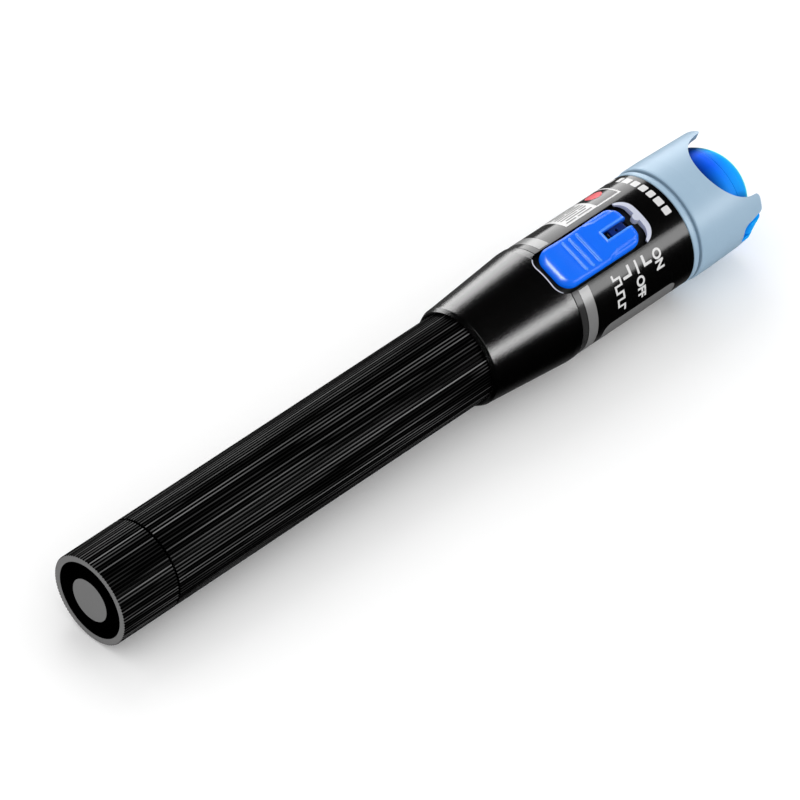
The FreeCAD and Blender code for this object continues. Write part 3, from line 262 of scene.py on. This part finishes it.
def collar_plastic():
    """Pale blue-grey moulding; painted shade darkens the corners of the groove behind its front ring."""
    m = Nodes("collar_grey")
    p = m.place
    xyz = m.add("ShaderNodeSeparateXYZ", {0: p}).outputs
    g = m.noise(p, 4200.0, 3.0, 0.65)
    cloud = m.noise(p, 120.0, 4.0)
    colour = m.mix(cloud, (0.32, 0.465, 0.60, 1), (0.36, 0.505, 0.64, 1))
    # painted shade: thin dark lines at the two corners of the groove behind the front ring
    near = m.ramp(m.math("ABSOLUTE", m.math("SUBTRACT", xyz[2], 0.15370)), 0.00015, 0.00005)
    far = m.ramp(m.math("ABSOLUTE", m.math("SUBTRACT", xyz[2], 0.15432)), 0.00018, 0.00006)
    line = m.math("ADD", m.math("MULTIPLY", near, 0.60), m.math("MULTIPLY", far, 0.45))
    colour = m.mix(m.math("MULTIPLY", line, m.lerp(cloud, 0.8, 1.1)), colour, (0.055, 0.085, 0.12, 1))
    m.shader(Base_Color=colour, Roughness=m.lerp(g, 0.33, 0.45), Specular_IOR_Level=0.34,
             Normal=m.bump(g, 0.12, 0.00004, m.bump(cloud, 0.1, 0.0002)))
    return m.mat


def slider_plastic():
    """Blue moulded switch button: satin, with painted highlights along its ribs and slot lips and painted shade down in
    its slot, darkest where the window sits.
    """
    m = Nodes("slider_blue")
    p = m.place
    xyz = m.add("ShaderNodeSeparateXYZ", {0: p}).outputs
    g = m.noise(p, 4200.0, 3.0, 0.65)
    cloud = m.noise(p, 240.0, 3.0)
    colour = m.mix(cloud, (0.0, 0.140, 0.92, 1), (0.001, 0.165, 0.98, 1))
    # painted highlight: the paler attribute lightens the rib shoulders and slot lips towards light blue
    edge_highlight = m.add("ShaderNodeAttribute", attribute_name="paler").outputs["Fac"]
    colour = m.mix(m.math("MULTIPLY", edge_highlight, 0.75), colour, (0.10, 0.40, 1.0, 1))
    # painted shade: darker with depth down the slot, near black at the window and pin hole
    slot = m.math("MULTIPLY", m.ramp(m.math("ABSOLUTE", xyz[1]), 0.00100, 0.00086), m.ramp(xyz[2], 0.13440, 0.13455))
    slot_shade = m.math("MULTIPLY", slot, m.ramp(xyz[0], 0.01291, 0.01255))
    black = m.math("MULTIPLY", slot, m.ramp(xyz[0], 0.01223, 0.01188))
    colour = m.mix(slot_shade, colour, (0.001, 0.022, 0.17, 1))
    colour = m.mix(black, colour, (0.0, 0.001, 0.008, 1))
    m.shader(Base_Color=colour, Roughness=m.lerp(g, 0.22, 0.30), Specular_IOR_Level=0.20,
             Normal=m.bump(g, 0.10, 0.00004, m.bump(cloud, 0.08, 0.0002)))
    return m.mat


def dome_blue():
    """The glossy lid: saturated blue with painted light: lighter towards its top and one side, a painted cyan highlight
    where the light shines along its rim, and painted shade down in the gaps by the prongs and below the collar's edge.
    """
    m = Nodes("cap_blue")
    p = m.place
    xyz = m.add("ShaderNodeSeparateXYZ", {0: p}).outputs
    cloud = m.noise(p, 220.0, 3.0)
    g = m.noise(p, 5000.0, 2.0)
    rim = m.add("ShaderNodeLayerWeight", {"Blend": 0.42}).outputs["Facing"]
    base = m.mix(cloud, (0.0, 0.10, 0.86, 1), (0.0, 0.12, 0.93, 1))
    # painted light: lighter towards the top of the lid and towards its +y side
    lit = m.mix(m.ramp(xyz[2], 0.1672, 0.1712), base, (0.0, 0.34, 1.0, 1))
    lit = m.mix(m.math("MULTIPLY", m.ramp(xyz[1], -0.001, 0.005), 0.6), lit, (0.01, 0.38, 1.0, 1))
    # painted highlight: a cyan rim where the lid's surface turns away from view
    lit = m.mix(m.ramp(rim, 0.55, 0.86), lit, (0.0, 0.42, 1.0, 1))
    lit = m.mix(m.ramp(rim, 0.72, 0.88), lit, (0.10, 1.0, 0.80, 1))
    # painted shade: dark in the gaps beside the prongs and on the ball below the collar's edge
    side = m.math("ABSOLUTE", m.math("SUBTRACT", xyz[1], 0.0008))
    inner = m.ramp(m.math("ABSOLUTE", xyz[1]), 0.0099, 0.0094)
    prong_gap_shade = m.math("MULTIPLY", m.math("MULTIPLY", m.ramp(side, 0.0052, 0.0076), inner), m.ramp(xyz[2], 0.1742, 0.1722))
    unshaded = m.math("MULTIPLY", m.ramp(xyz[2], 0.1630, 0.1668), m.math("SUBTRACT", 1.0, m.math("MULTIPLY", prong_gap_shade, 0.92)))
    colour = m.mix(unshaded, (0.0, 0.006, 0.085, 1), lit)
    m.shader(Base_Color=colour, Roughness=m.lerp(g, 0.30, 0.38), Specular_IOR_Level=0.02,
             Normal=m.bump(g, 0.05, 0.00003, m.bump(cloud, 0.06, 0.0002)))
    return m.mat


MATS = {
    "anodised_black": fluted_metal(),
    "housing_black": satin_metal(),
    "label_film": label_film(),
    "collar_grey": collar_plastic(),
    "bezel_grey": moulded("bezel_grey", (0.54, 0.57, 0.68, 1), (0.60, 0.63, 0.74, 1), 0.42, 0.40, wear=0.0),
    "slider_blue": slider_plastic(),
    "cap_blue": dome_blue(),
    "inner_black": moulded("inner_black", grey(0.004), grey(0.009), 0.55, 0.3, wear=0.0),
    "seal_rubber": moulded("seal_rubber", grey(0.010), grey(0.018), 0.75, 0.3, wear=0.0),
    "spring_steel": metal("spring_steel", (0.55, 0.55, 0.53, 1), 0.25, turned=False),
    "plated_steel": metal("plated_steel", (0.62, 0.61, 0.58, 1), 0.26),
    "cell_wrap": moulded("cell_wrap", grey(0.08), grey(0.10), 0.35, 0.5, wear=0.0),
    "contact_brass": metal("contact_brass", (0.75, 0.55, 0.22, 1), 0.25),
    "module_brass": metal("module_brass", (0.72, 0.52, 0.20, 1), 0.3),
    "board_green": moulded("board_green", (0.01, 0.12, 0.04, 1), (0.02, 0.16, 0.06, 1), 0.3, 0.5, wear=0.0),
    "capacitor_tan": moulded("capacitor_tan", (0.35, 0.2, 0.1, 1), (0.4, 0.24, 0.13, 1), 0.5, 0.4, wear=0.0),
    "sleeve_ceramic": moulded("sleeve_ceramic", grey(0.75), grey(0.80), 0.25, 0.5, wear=0.0),
    "lens_glass": moulded("lens_glass", grey(0.75), grey(0.8), 0.15, 0.5, wear=0.0),
}
SLOT_OF = {s["node"]: s["material_slot"] for s in frame["record"]["subparts"]}
for name, obj in frame["nodes"].items():
    obj.data.materials.clear()
    obj.data.materials.append(MATS[SLOT_OF[name]])


def smooth(obj, angle=32.0):
    """Smooth shading with sharp edges kept where faces meet at more than the angle."""
    me = obj.data
    for poly in me.polygons:
        poly.use_smooth = True
    bm = bmesh.new()
    bm.from_mesh(me)
    flags = [len(e.link_faces) == 2 and e.calc_face_angle(0.0) > math.radians(angle) for e in bm.edges]
    bm.free()
    attr = me.attributes.get("sharp_edge") or me.attributes.new("sharp_edge", "BOOLEAN", "EDGE")
    attr.data.foreach_set("value", flags)


# ------------------------------------------------------------------------------------------------ prints on the label
LABEL_R = 0.01255


def wrapped(name, loops, r_in, r_out, mat, bm=None):
    """A thin print on a cylinder. loops is a list of outlines in (arc length, height), metres, laid round the pen's axis."""
    if bm is None:
        bm = bmesh.new()
        for loop in loops:
            vs = [bm.verts.new((u, v, 0.0)) for u, v in loop]
            bm.faces.new(vs)
    bmesh.ops.triangulate(bm, faces=bm.faces[:])
    us = [v.co.x for v in bm.verts]
    step = LABEL_R * math.radians(3.0)
    u = math.floor(min(us) / step) * step
    while u < max(us):
        bmesh.ops.bisect_plane(bm, geom=bm.verts[:] + bm.edges[:] + bm.faces[:], plane_co=(u, 0, 0), plane_no=(1, 0, 0))
        u += step
    bmesh.ops.recalc_face_normals(bm, faces=bm.faces[:])
    flat = [f for f in bm.faces]
    for f in flat:
        if f.normal.z < 0:
            f.normal_flip()
    ret = bmesh.ops.extrude_face_region(bm, geom=flat)
    top = {v for v in ret["geom"] if isinstance(v, bmesh.types.BMVert)}
    for v in bm.verts:
        r = r_out if v in top else r_in
        th = v.co.x / LABEL_R
        v.co = Vector((r * math.cos(th), r * math.sin(th), v.co.y))
    bmesh.ops.recalc_face_normals(bm, faces=bm.faces[:])
    me = bpy.data.meshes.new(name)
    bm.to_mesh(me)
    bm.free()
    obj = bpy.data.objects.new(name, me)
    bpy.context.scene.collection.objects.link(obj)
    me.materials.append(mat)
    smooth(obj, 40.0)
    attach(obj, "root")
    return obj


def deg(a):
    return LABEL_R * math.radians(a)


def strip(a0, a1, z0, z1):
    """Outline of a patch from angle a0 to a1, degrees, and height z0 to z1, millimetres."""
    return [(deg(a0), z0 * MM), (deg(a1), z0 * MM), (deg(a1), z1 * MM), (deg(a0), z1 * MM)]


def print_ink(name, colour, rough=0.4, spec=0.4):
    m = Nodes(name)
    p = m.place
    dots = m.noise(p, 7000.0, 2.0)
    worn = m.ramp(m.noise(p, 900.0, 4.0, 0.7), 0.60, 0.72)
    c = m.mix(m.math("MULTIPLY", worn, 0.16), colour, grey(0.02))
    m.shader(Base_Color=c, Roughness=m.lerp(dots, rough - 0.06, rough + 0.08), Specular_IOR_Level=spec, Normal=m.bump(dots, 0.12, 0.00002))
    return m.mat


INK_WHITE = print_ink("ink_white", (0.68, 0.68, 0.68, 1))
INK_SILVER = print_ink("ink_silver", (0.20, 0.20, 0.20, 1), 0.30, 1.0)
INK_GREY = print_ink("ink_grey", (0.16, 0.16, 0.16, 1), 0.4)
INK_RED = print_ink("ink_red", (0.75, 0.06, 0.08, 1), 0.4)
INK_DULL = print_ink("ink_dull", (0.17, 0.17, 0.17, 1), 0.5)

for obj in frame["nodes"].values():
    smooth(obj)


# ------------------------------------------------------------------------------------------------ slide switch button
def button():
    """The blue thumb slide: a domed, round-cornered plate with a shallow scoop, three ribs, a slot with its indicator window,
    low shoulders along its sides and a notch at its front end."""
    hw, hl, mid, corner, top, base = 4.9, 10.985, 130.485, 2.9, 13.25, 11.38
    nz, ny = 460, 132

    def half_width(z):
        q = hl - abs(z - mid)
        if q >= corner:
            return hw
        return hw - corner + math.sqrt(max(0.0, corner * corner - (corner - q) ** 2))

    def ss(a, b, x):
        t = min(1.0, max(0.0, (x - a) / (b - a)))
        return t * t * (3.0 - 2.0 * t)

    shoulder = [(118.0, 6.2), (129.6, 6.2), (131.4, 5.2), (133.2, 4.1), (134.8, 3.7), (141.0, 3.6), (142.0, 3.6)]

    def shoulder_y(z):
        for (z0, y0), (z1, y1) in zip(shoulder, shoulder[1:]):
            if z <= z1:
                return y0 + (y1 - y0) * ss(z0, z1, z)
        return shoulder[-1][1]

    def height(y, z):
        # distance to the outline, rounded over
        dz, dy = max(0.0, abs(z - mid) - (hl - corner)), max(0.0, abs(y) - (hw - corner))
        inside = corner - math.hypot(dz, dy) if dz > 0 or dy > 0 else corner + min(hl - corner - abs(z - mid), hw - corner - abs(y))
        e = 1.15
        q = min(e, max(0.0, inside))
        x = top - 0.06 * (y / hw) ** 2 - (e - math.sqrt(max(0.0, e * e - (e - q) ** 2))) * 0.95
        # the rear end falls away from a broad crest, the front end a little
        x -= 0.75 * ss(0.0, 1.0, (122.3 - z) / 2.8) ** 2 * 1.1
        x -= 0.22 * ss(0.0, 1.0, (z - 138.6) / 3.0) ** 2
        # thumb scoop
        s = (z - 128.6) / 6.4
        if abs(s) < 1.0:
            x -= 0.50 * (1.0 - s * s) ** 2
        # low shoulders beside the front half
        rise = ss(-0.42, 0.42, abs(y) - shoulder_y(z))
        x -= 0.30 * rise
        # ribs
        for zr in (126.10, 128.02, 129.98):
            across_rib = max(0.0, abs(y) - 3.45)
            dist = math.hypot(z - zr, across_rib)
            if dist < 0.50:
                x += 0.44 * (1.0 - ss(0.10, 0.46, dist))
        # slot, its raised lips, window, pin hole and notch
        if z > 133.6:
            g = max(abs(y) - 0.92, 134.5 - z)
            x += 0.16 * math.exp(-((g - 0.34) / 0.24) ** 2) * ss(0.0, 1.0, (142.4 - z) / 1.5)
            x -= 0.85 * (1.0 - ss(-0.12, 0.10, g))
            if z < 137.0:
                w = max(abs(y) - 0.84, abs(z - 135.5) - 0.80)
                x -= 0.75 * (1.0 - ss(-0.10, 0.06, w))
            h = math.hypot(y, z - 138.0) - 0.36
            x -= 0.55 * (1.0 - ss(-0.08, 0.06, h))
        n = max(abs(y) - 0.95, 140.3 - z)
        x -= 2.0 * (1.0 - ss(-0.12, 0.10, n))
        return max(base + 0.02, x)

    # painted highlight: pale lines along the shoulders of the three ribs and the slot's raised lips
    def paler(y, z):
        v = 0.0
        for zr in (126.10, 128.02, 129.98):
            dist = math.hypot(z - zr, max(0.0, abs(y) - 3.45))
            v = max(v, math.exp(-((dist - 0.26) / 0.14) ** 2))
        if z > 133.6:
            g = max(abs(y) - 0.92, 134.5 - z)
            v = max(v, 0.8 * math.exp(-((g - 0.30) / 0.20) ** 2) * ss(0.0, 1.0, (141.4 - z) / 1.0))
        return v

    pale = []

    zs = []
    for i in range(nz + 1):
        t = i / nz
        # closer rows near both ends
        t = t + 0.045 * math.sin(2 * math.pi * t) * -1.0
        zs.append(mid - hl + 0.004 + (2 * hl - 0.008) * t)
    verts, faces = [], []
    for z in zs:
        w = half_width(z)
        for j in range(ny + 1):
            v = -1.0 + 2.0 * j / ny
            v = math.sin(v * math.pi / 2.0) * 0.35 + v * 0.65
            y = v * w
            verts.append((height(y, z) * MM, y * MM, z * MM))
            pale.append(paler(y, z))
    row = ny + 1
    count = len(verts)
    for i in range(nz):
        for j in range(ny):
            a = i * row + j
            faces.append((a, a + row, a + row + 1, a + 1))
    loop = [j for j in range(row)] + [i * row + ny for i in range(1, nz + 1)] + [nz * row + j for j in range(ny - 1, -1, -1)] + [i * row for i in range(nz - 1, 0, -1)]
    for k in loop:
        verts.append((base * MM, verts[k][1], verts[k][2]))
    m = len(loop)
    for k in range(m):
        k2 = (k + 1) % m
        faces.append((loop[k], loop[k2], count + k2, count + k))
    faces.append(tuple(count + k for k in range(m - 1, -1, -1)))
    me = bpy.data.meshes.new("slide_button")
    me.from_pydata(verts, [], faces)
    # the paler attribute carries the painted highlight on the rib shoulders and slot lips
    me.attributes.new("paler", "FLOAT", "POINT").data.foreach_set("value", pale + [0.0] * (len(verts) - len(pale)))
    bm = bmesh.new()
    bm.from_mesh(me)
    bmesh.ops.triangulate(bm, faces=[f for f in bm.faces if len(f.verts) > 4])
    bmesh.ops.recalc_face_normals(bm, faces=bm.faces[:])
    bm.to_mesh(me)
    bm.free()
    obj = bpy.data.objects.new("slide_button", me)
    bpy.context.scene.collection.objects.link(obj)
    me.materials.append(MATS["slider_blue"])
    smooth(obj, 50.0)
    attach(obj, "slider")
    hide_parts("switch_slider")
    return obj


button()


def seam_ring():
    """The insert's upper lip: it brings the seam under the lid down to a hairline, flush with the ball's surface."""
    def ball(z):
        return math.sqrt(10.93 ** 2 - (z - 165.0) ** 2) - 0.03
    profile = [(8.2, 167.9), (ball(167.9), 167.9), (ball(168.24), 168.24), (8.2, 168.24)]
    n = 192
    verts, faces = [], []
    for i in range(n):
        t = 2.0 * math.pi * i / n
        verts += [(r * MM * math.cos(t), r * MM * math.sin(t), z * MM) for r, z in profile]
    for i in range(n):
        a, b = 4 * i, 4 * ((i + 1) % n)
        faces += [(a + k, b + k, b + (k + 1) % 4, a + (k + 1) % 4) for k in range(4)]
    me = bpy.data.meshes.new("insert_lip")
    me.from_pydata(verts, [], faces)
    bm = bmesh.new()
    bm.from_mesh(me)
    bmesh.ops.recalc_face_normals(bm, faces=bm.faces[:])
    bm.to_mesh(me)
    bm.free()
    obj = bpy.data.objects.new("insert_lip", me)
    bpy.context.scene.collection.objects.link(obj)
    me.materials.append(MATS["cap_blue"])
    smooth(obj, 30.0)
    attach(obj, "root")


seam_ring()


def ring_patch(name, a0, a1, z0, z1, mat, thick=0.025):
    return wrapped(name, [strip(a0, a1, z0, z1)], LABEL_R - 0.00002, LABEL_R + thick * MM, mat)


def rounded(a0, a1, z0, z1, r, n=6):
    """Outline of a patch with round corners of radius r, millimetres."""
    u0, u1, v0, v1, r = deg(a0), deg(a1), z0 * MM, z1 * MM, r * MM
    out = []
    for cu, cv, start in ((u1 - r, v0 + r, -90), (u1 - r, v1 - r, 0), (u0 + r, v1 - r, 90), (u0 + r, v0 + r, 180)):
        for i in range(n + 1):
            t = math.radians(start + 90.0 * i / n)
            out.append((cu + r * math.cos(t), cv + r * math.sin(t)))
    return out


def disc(a, z, r, n=40):
    return [(deg(a) + r * MM * math.cos(2 * math.pi * i / n), z * MM + r * MM * math.sin(2 * math.pi * i / n)) for i in range(n)]


def stroke(points, width, end=0.0):
    """Outline of a line of that width, mm, through points in (degrees, mm) with mitred corners."""
    pts = [(deg(a) / MM, z) for a, z in points]
    left, right_side = [], []
    for i, (x, y) in enumerate(pts):
        dirs = []
        if i > 0:
            dx, dy = x - pts[i - 1][0], y - pts[i - 1][1]
            dirs.append((dx / math.hypot(dx, dy), dy / math.hypot(dx, dy)))
        if i < len(pts) - 1:
            dx, dy = pts[i + 1][0] - x, pts[i + 1][1] - y
            dirs.append((dx / math.hypot(dx, dy), dy / math.hypot(dx, dy)))
        tx, ty = sum(d[0] for d in dirs), sum(d[1] for d in dirs)
        k = math.hypot(tx, ty)
        tx, ty = tx / k, ty / k
        w = width / 2.0 / max(0.3, tx * dirs[0][0] + ty * dirs[0][1])
        left.append(((x - ty * w) * MM, (y + tx * w) * MM))
        right_side.append(((x + ty * w) * MM, (y - tx * w) * MM))
    return left + right_side[::-1]


def word(name, text, angle, height_mid, size, mat, stretch=1.0):
    """A word that starts at that angle and runs round the pen, its letters' tops towards the head."""
    curve = bpy.data.curves.new(name + "_shape", "FONT")
    curve.body = text
    curve.size = size * MM
    curve.offset = 0.035 * size * MM
    curve.resolution_u = 4
    tmp = bpy.data.objects.new(name + "_tmp", curve)
    bpy.context.scene.collection.objects.link(tmp)
    bpy.context.view_layer.update()
    me = bpy.data.meshes.new_from_object(tmp.evaluated_get(bpy.context.evaluated_depsgraph_get()))
    bpy.data.objects.remove(tmp)
    bpy.data.curves.remove(curve)
    ys = [v.co.y for v in me.vertices]
    xs = [v.co.x for v in me.vertices]
    mid = (min(ys) + max(ys)) / 2.0
    bm = bmesh.new()
    bm.from_mesh(me)
    bpy.data.meshes.remove(me)
    bmesh.ops.remove_doubles(bm, verts=bm.verts[:], dist=1e-7)
    for v in bm.verts:
        v.co = Vector((deg(angle) + (v.co.x - min(xs)) * stretch, height_mid * MM + v.co.y - mid, 0.0))
    return wrapped(name, None, LABEL_R - 0.00002, LABEL_R + 0.000025, mat, bm=bm)


ring_patch("stripe", 27.6, 332.4, 122.25, 124.85, INK_SILVER, 0.02)
# slide positions: three marks, the middle one OFF, one end ON and the other a pulse
wrapped("tick_pulse", [stroke([(32.2, 135.2), (42.0, 135.2), (42.0, 133.2)], 0.62)], LABEL_R - 0.00002, LABEL_R + 0.000025, INK_WHITE)
wrapped("tick_off", [stroke([(32.3, 137.28), (45.9, 137.28)], 0.5)], LABEL_R - 0.00002, LABEL_R + 0.000025, INK_WHITE)
wrapped("tick_on", [stroke([(32.3, 139.3), (42.0, 139.3), (42.0, 141.2)], 0.62)], LABEL_R - 0.00002, LABEL_R + 0.000025, INK_WHITE)
word("word_off", "OFF", 48.3, 137.25, 2.9, INK_WHITE, 1.02)
word("word_on", "ON", 33.4, 142.95, 2.9, INK_WHITE, 1.02)
pulse = [(33.0, 130.7), (38.0, 130.7), (38.0, 132.4), (45.0, 132.4), (45.0, 130.7), (52.0, 130.7), (52.0, 132.4), (59.0, 132.4), (59.0, 130.7), (66.0, 130.7),
         (66.0, 132.4), (72.5, 132.4)]
wrapped("pulse_mark", [stroke(pulse, 0.46)], LABEL_R - 0.00002, LABEL_R + 0.000025, INK_WHITE)
# plain blocks round the front of the label, where a title would be
blocks = []
at = 15.5
for width in (10.5, 11.5, 9.5, 10.0, 10.0, 11.5, 8.0, 0.0, 10.5, 8.0, 11.0, 9.5, 10.0):
    if width:
        blocks.append(rounded(at - width + 1.6, at - 1.0, 149.15, 150.95, 0.25))
    at -= width or 6.0
wrapped("title_blocks", blocks, LABEL_R - 0.00002, LABEL_R + 0.000025, INK_WHITE)
# sticker: white field with plain grey bars, and a framed field with a plain dot
ring_patch("sticker_field", -96.0, -33.2, 131.0, 139.9, INK_WHITE, 0.02)
bars = []
for i in range(13):
    a = -37.0 - 4.1 * i
    for lo, hi in (((131.9, 134.6), (135.1, 139.0)), ((131.9, 139.0),), ((131.9, 136.6), (137.0, 139.0)), ((132.6, 138.2),))[(i * 3) % 4]:
        bars.append(rounded(a - 0.95, a + 0.95, lo, hi, 0.12))
wrapped("sticker_bars", bars, LABEL_R, LABEL_R + 0.00004, INK_GREY)
wrapped("sticker_frame", [stroke([(-33.6, 139.9), (-33.6, 146.2), (-96.0, 146.2), (-96.0, 139.9)], 0.42)], LABEL_R - 0.00002, LABEL_R + 0.000025, INK_WHITE)
wrapped("sticker_dot", [disc(-54.5, 143.0, 1.9)], LABEL_R - 0.00002, LABEL_R + 0.00004, INK_RED)
# blank grey field on the far side of the label
wrapped("grey_field", [rounded(80.0, 134.0, 127.0, 147.2, 1.9)], LABEL_R - 0.00002, LABEL_R + 0.000025, INK_DULL)

# ------------------------------------------------------------------------------------------------ stage
contact_dir = Vector((math.cos(math.radians(161.0)), math.sin(math.radians(161.0)), 0.0))
normal = -contact_dir
low = contact_dir * 9.85 * MM
high = contact_dir * 12.84 * MM + Vector((0, 0, 156.5 * MM))
along_floor = (high - low).normalized()
side = along_floor.cross(normal).normalized()
normal = side.cross(along_floor).normalized()
floor_mat = Nodes("stage_white")
fp = floor_mat.place
fine = floor_mat.noise(fp, 60.0, 3.0)
diffuse = floor_mat.add("ShaderNodeBsdfPrincipled", {"Base Color": floor_mat.mix(fine, grey(0.90), grey(0.92)), "Roughness": 0.8, "Specular IOR Level": 0.1, "Emission Color": (1, 1, 1, 1), "Emission Strength": 0.12})
clear = floor_mat.add("ShaderNodeBsdfTransparent")
pick = floor_mat.add("ShaderNodeMixShader")
geo = floor_mat.add("ShaderNodeNewGeometry")
floor_mat.plug(pick, 0, geo.outputs["Backfacing"])
floor_mat.plug(pick, 1, diffuse.outputs[0])
floor_mat.plug(pick, 2, clear.outputs[0])
floor_mat.tree.links.new(pick.outputs[0], floor_mat.out.inputs[0])
me = bpy.data.meshes.new("floor")
c = low + along_floor * 0.08 - normal * 0.0002
S = 3.0
me.from_pydata([c - side * S - along_floor * S, c + side * S - along_floor * S, c + side * S + along_floor * S, c - side * S + along_floor * S], [], [(0, 1, 2, 3)])
floor = bpy.data.objects.new("floor", me)
bpy.context.scene.collection.objects.link(floor)
me.materials.append(floor_mat.mat)
if me.polygons[0].normal.dot(normal) < 0:
    me.flip_normals()


# ------------------------------------------------------------------------------------------------ light
floor.visible_glossy = False


def about(az, el):
    """A direction given by its angle round the pen from the camera's side, and its rise towards the head, degrees."""
    az, el = math.radians(az + 17.5), math.radians(el)
    return Vector((math.cos(el) * math.cos(az), math.cos(el) * math.sin(az), math.sin(el)))


def area(name, az, el, distance, length, width, radiance, soft=True, gloss=True, shadow=True, target=Vector((0, 0, 0.1)), colour=(1, 1, 1)):
    """A light panel whose long side runs along the pen. soft: it lights surfaces; gloss: it shows as a highlight."""
    d = about(az, el)
    data = bpy.data.lights.new(name, "AREA")
    data.shape, data.size, data.size_y, data.color = "RECTANGLE", length, width, colour
    data.energy = radiance * math.pi * length * width
    data.use_shadow = shadow
    obj = bpy.data.objects.new(name, data)
    bpy.context.scene.collection.objects.link(obj)
    x = (Vector((0, 0, 1)) - d * d.z).normalized()
    obj.matrix_world = Matrix.Translation(target + d * distance) @ Matrix((x, d.cross(x), d)).transposed().to_4x4()
    obj.visible_camera = False
    obj.visible_diffuse = soft
    obj.visible_glossy = gloss
    obj.visible_transmission = gloss
    return obj


area("key", -78, 22, 1.3, 0.7, 0.55, KEY, gloss=False)
area("upper_band", -109, 31, 1.0, 1.3, 0.62, 0.72 * UPPER, soft=False)
area("lower_band", 33, 31, 1.0, 1.3, 0.33, LOWER, soft=False)
area("tail_glint", -12, 2, 1.2, 0.20, 1.2, 0.22 * GLINT, soft=False)
glint = area("slide_glint", -35, -38, 1.2, 0.60, 0.30, 55.0, soft=False)
# this small bright panel serves the thumb button's rear end alone; elsewhere it would burn out on the housing's rim
served = bpy.data.collections.new("slide_glint_served")
served.objects.link(bpy.data.objects["slide_button"])
glint.light_linking.receiver_collection = served
area("head_glint", -30, 62, 1.2, 0.22, 1.2, 0.7 * GLINT, soft=False)

world = bpy.data.worlds.new("studio")
bpy.context.scene.world = world
world.use_nodes = True
wt = world.node_tree
bg = wt.nodes["Background"]
ray = wt.nodes.new("ShaderNodeLightPath")
direction = wt.nodes.new("ShaderNodeTexCoord").outputs["Generated"]
dot = wt.nodes.new("ShaderNodeVectorMath")
dot.operation = "DOT_PRODUCT"
wt.links.new(direction, dot.inputs[0])
dot.inputs[1].default_value = about(-150, 20)
glow = wt.nodes.new("ShaderNodeMapRange")
glow.clamp = True
glow.interpolation_type = "SMOOTHSTEP"
wt.links.new(dot.outputs["Value"], glow.inputs[0])
for i, v in ((1, 0.2), (2, 0.95), (3, AMBIENT_DARK), (4, AMBIENT_GLOW)):
    glow.inputs[i].default_value = v
mix = wt.nodes.new("ShaderNodeMix")
mix.data_type = "FLOAT"
wt.links.new(ray.outputs["Is Glossy Ray"], mix.inputs[0])
mix.inputs[2].default_value = AMBIENT
wt.links.new(glow.outputs[0], mix.inputs[3])
bg.inputs[0].default_value = (1, 1, 1, 1)
wt.links.new(mix.outputs[0], bg.inputs[1])
bpy.context.scene.view_settings.view_transform = "Standard"
